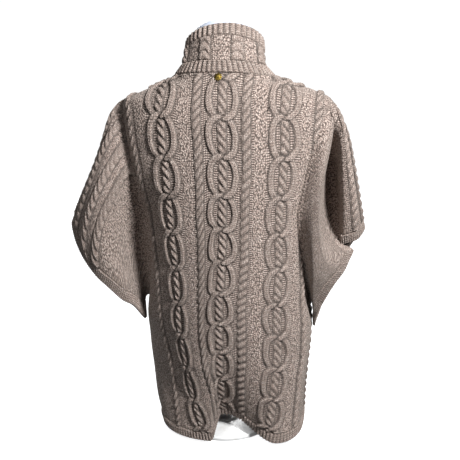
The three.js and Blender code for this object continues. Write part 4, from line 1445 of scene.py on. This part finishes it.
class CARDIGAN_OT_stand(bpy.types.Operator):
    """Turns the round base and the pole with its flange"""

    bl_idname = "cardigan.stand"
    bl_label = "Stand"

    def execute(self, context):
        stand = context.scene.cardigan_stand
        paint = painted_steel(stand)
        profile = [(AXIS, 0), (BASE_RADIUS - BASE_BEVEL, 0), (BASE_RADIUS, BASE_BEVEL)]
        for t in np.linspace(0, math.pi / 2, 7):
            profile.append((BASE_RADIUS - BASE_ROUND * (1 - math.cos(t)),
                            BASE_HEIGHT - BASE_ROUND * (1 - math.sin(t))))
        profile.append((AXIS, BASE_HEIGHT))
        keep(turned("round_base", profile, stand.sides, paint), "stand_base")

        foot, top = BASE_HEIGHT + SEAM, float(FORM["z"][0]) - SEAM
        profile = [(AXIS, foot), (FLANGE_RADIUS - FLANGE_BEVEL, foot),
                   (FLANGE_RADIUS, foot + FLANGE_BEVEL), (FLANGE_RADIUS, foot + FLANGE_RIM)]
        for t in np.linspace(0, 1, 9):
            flare = (FLANGE_RADIUS - POLE_RADIUS) * (1 - t) ** FLANGE_CURVE
            rise = FLANGE_SHOULDER + (FLANGE_HEIGHT - FLANGE_SHOULDER) * t
            profile.append((POLE_RADIUS + flare, foot + rise))
        profile += [(POLE_RADIUS, foot + POLE_START), (POLE_RADIUS, top - 1),
                    (POLE_RADIUS - 1, top), (AXIS, top)]
        keep(turned("pole_with_flange", profile, POLE_SIDES, paint), "stand_pole")
        return {"FINISHED"}


class CARDIGAN_OT_stud(bpy.types.Operator):
    """Casts the small brass stud at the nape"""

    bl_idname = "cardigan.stud"
    bl_label = "Neck stud"

    def execute(self, context):
        radius, post = STUD_RADIUS, POST_LENGTH
        profile = [(0.5, SEAM), (POST_RADIUS, SEAM), (POST_RADIUS, post),
                   (radius - 0.5, post), (radius, post + 0.5), (radius, post + 1.1),
                   (radius - 0.6, post + 1.6)]
        for t in np.linspace(0, math.pi / 2, 9)[1:]:
            profile.append(((radius - 1.2) * math.cos(t) + 0.02,
                            post + 1.2 + (STUD_DOME - 1.2) * math.sin(t)))
        seat = shoulder(np.zeros(1), np.array([STUD_Z]), -1)[0]
        turn = math.pi / 2 - STUD_LEAN
        placed = []
        for r, h in profile:
            for t in np.linspace(0, 2 * math.pi, STUD_SIDES, endpoint=False):
                petal = 1 - PETAL_DEPTH * (1 - math.cos(PETALS * t)) * (h > post + 0.2)
                x, y = r * petal * math.cos(t), r * petal * math.sin(t)
                placed.append((x, y * math.cos(turn) - h * math.sin(turn) + seat[1],
                               y * math.sin(turn) + h * math.cos(turn) + seat[2]))
        stud = new_object("brass_stud", placed, ring_faces(len(profile), STUD_SIDES),
                          brass(context.scene.cardigan_stand))
        keep(stud, "neck_stud")
        return {"FINISHED"}


# ------------------------------------------------------------------ the stage

FLOOR_RADIUS, FLOOR_Z, FLOOR_SIDES = 2600, -0.52, 64
FLOOR_GLOW = 0.93
SKY_SEEN = 1.05  # brightness of the backdrop in the camera only
KEY_PLACE, KEY_AIM = (1.0, -1.15, 1.5), (0, 0, 0.85)  # in metres, as all places below
SUNS = {"fill_light": (-1.0, -2.1, 2.3), "front_light": (-0.7, 3.0, 1.9)}
SUN_AIM, SUN_ANGLE = (0, 0, 0.45), math.radians(40)
LENS, SENSOR = 61.83, 36  # in mm
AIM_ASIDE, AIM_Z = 0.01, 0.43  # the camera looks at a point a little right of the middle


class CARDIGAN_OT_stage(bpy.types.Operator):
    """Sets the floor, the lights and the camera"""

    bl_idname = "cardigan.stage"
    bl_label = "Stage"

    def execute(self, context):
        stage = context.scene.cardigan_stage
        self.floor(stage)
        self.sky(context, stage)
        key = bpy.data.lights.new("key_light", "AREA")
        key.shape, key.size, key.energy = "DISK", stage.key_size, stage.key_light
        self.put(context, key, KEY_PLACE, KEY_AIM)
        for name, place in SUNS.items():
            sun = bpy.data.lights.new(name, "SUN")
            sun.energy, sun.angle = getattr(stage, name), SUN_ANGLE
            self.put(context, sun, place, SUN_AIM)

        s, c = math.sin(stage.azimuth), math.cos(stage.azimuth)
        back = np.array([s, -c, math.tan(stage.elevation)]) * stage.distance
        aim = np.array([AIM_ASIDE * c, AIM_ASIDE * s, AIM_Z])
        camera = bpy.data.cameras.new("Camera")
        camera.lens, camera.sensor_width = LENS, SENSOR
        context.scene.camera = self.put(context, camera, aim + back, aim)
        return {"FINISHED"}

    def floor(self, stage):
        """A sheet of white acrylic lit from below, as under studio pictures of goods."""
        pale = Finish("lit_white_acrylic")
        speck = pale.spread(pale.noise(6, 3), 0.3, 0.7, 0, 0.3)
        pale.set(Base_Color=pale.mix(speck, tuple(stage.floor), linear("c2c2c2")),
                 Roughness=0.7, Emission_Color=linear("ffffff"),
                 Emission_Strength=FLOOR_GLOW)
        angles = np.linspace(0, 2 * math.pi, FLOOR_SIDES, endpoint=False)
        rim = np.stack([FLOOR_RADIUS * np.cos(angles), FLOOR_RADIUS * np.sin(angles),
                        np.full(FLOOR_SIDES, FLOOR_Z)], -1)
        floor = new_object("studio_floor", rim, [list(range(FLOOR_SIDES))], pale.material)
        floor.visible_diffuse = False

    def sky(self, context, stage):
        """A backdrop that is white to the camera but hardly lights the cloth."""
        world = bpy.data.worlds.new("Studio")
        world.use_nodes = True
        tree = world.node_tree
        sky = tree.nodes["Background"]
        sky.inputs["Color"].default_value = (1, 1, 1, 1)
        seen = tree.nodes.new("ShaderNodeLightPath").outputs["Is Camera Ray"]
        strength = tree.nodes.new("ShaderNodeMapRange")
        tree.links.new(seen, strength.inputs[0])
        strength.inputs["To Min"].default_value = stage.ambient
        strength.inputs["To Max"].default_value = SKY_SEEN
        tree.links.new(strength.outputs[0], sky.inputs["Strength"])
        context.scene.world = world
        context.scene.view_settings.view_transform = "Standard"

    def put(self, context, data, place, aim):
        """Stands a lamp or a camera at a place in metres and points it at another."""
        thing = bpy.data.objects.new(data.name, data)
        context.collection.objects.link(thing)
        thing.location = Vector(place)
        away = Vector(aim) - Vector(place)
        thing.rotation_euler = away.to_track_quat("-Z", "Y").to_euler()
        return thing


# ------------------------------------------------------------------ the add-on


class CARDIGAN_PT_pieces(bpy.types.Panel):
    """Sizes, colours and pieces of the cardigan"""

    bl_idname = "CARDIGAN_PT_pieces"
    bl_label = "Cable-knit cardigan"
    bl_space_type = "VIEW_3D"
    bl_region_type = "UI"
    bl_category = "Cardigan"

    def draw(self, context):
        for group in (context.scene.cardigan_knit, context.scene.cardigan_stand,
                      context.scene.cardigan_stage):
            box = self.layout.box()
            for name in group.__annotations__:
                box.prop(group, name)
        for operator in OPERATORS:
            self.layout.operator(operator.bl_idname)


OPERATORS = (
    CARDIGAN_OT_back, CARDIGAN_OT_fronts, CARDIGAN_OT_front_bands, CARDIGAN_OT_sleeves,
    CARDIGAN_OT_collar, CARDIGAN_OT_stud, CARDIGAN_OT_form, CARDIGAN_OT_stand,
    CARDIGAN_OT_stage,
)
CLASSES = (CardiganKnit, CardiganStand, CardiganStage, *OPERATORS, CARDIGAN_PT_pieces)


def register():
    for cls in CLASSES:
        bpy.utils.register_class(cls)
    bpy.types.Scene.cardigan_knit = PointerProperty(type=CardiganKnit)
    bpy.types.Scene.cardigan_stand = PointerProperty(type=CardiganStand)
    bpy.types.Scene.cardigan_stage = PointerProperty(type=CardiganStage)


def unregister():
    del bpy.types.Scene.cardigan_knit
    del bpy.types.Scene.cardigan_stand
    del bpy.types.Scene.cardigan_stage
    for cls in reversed(CLASSES):
        bpy.utils.unregister_class(cls)


def main():
    register()
    for operator in OPERATORS:
        getattr(bpy.ops.cardigan, operator.bl_idname.split(".")[1])()


if __name__ == "__main__":
    main()
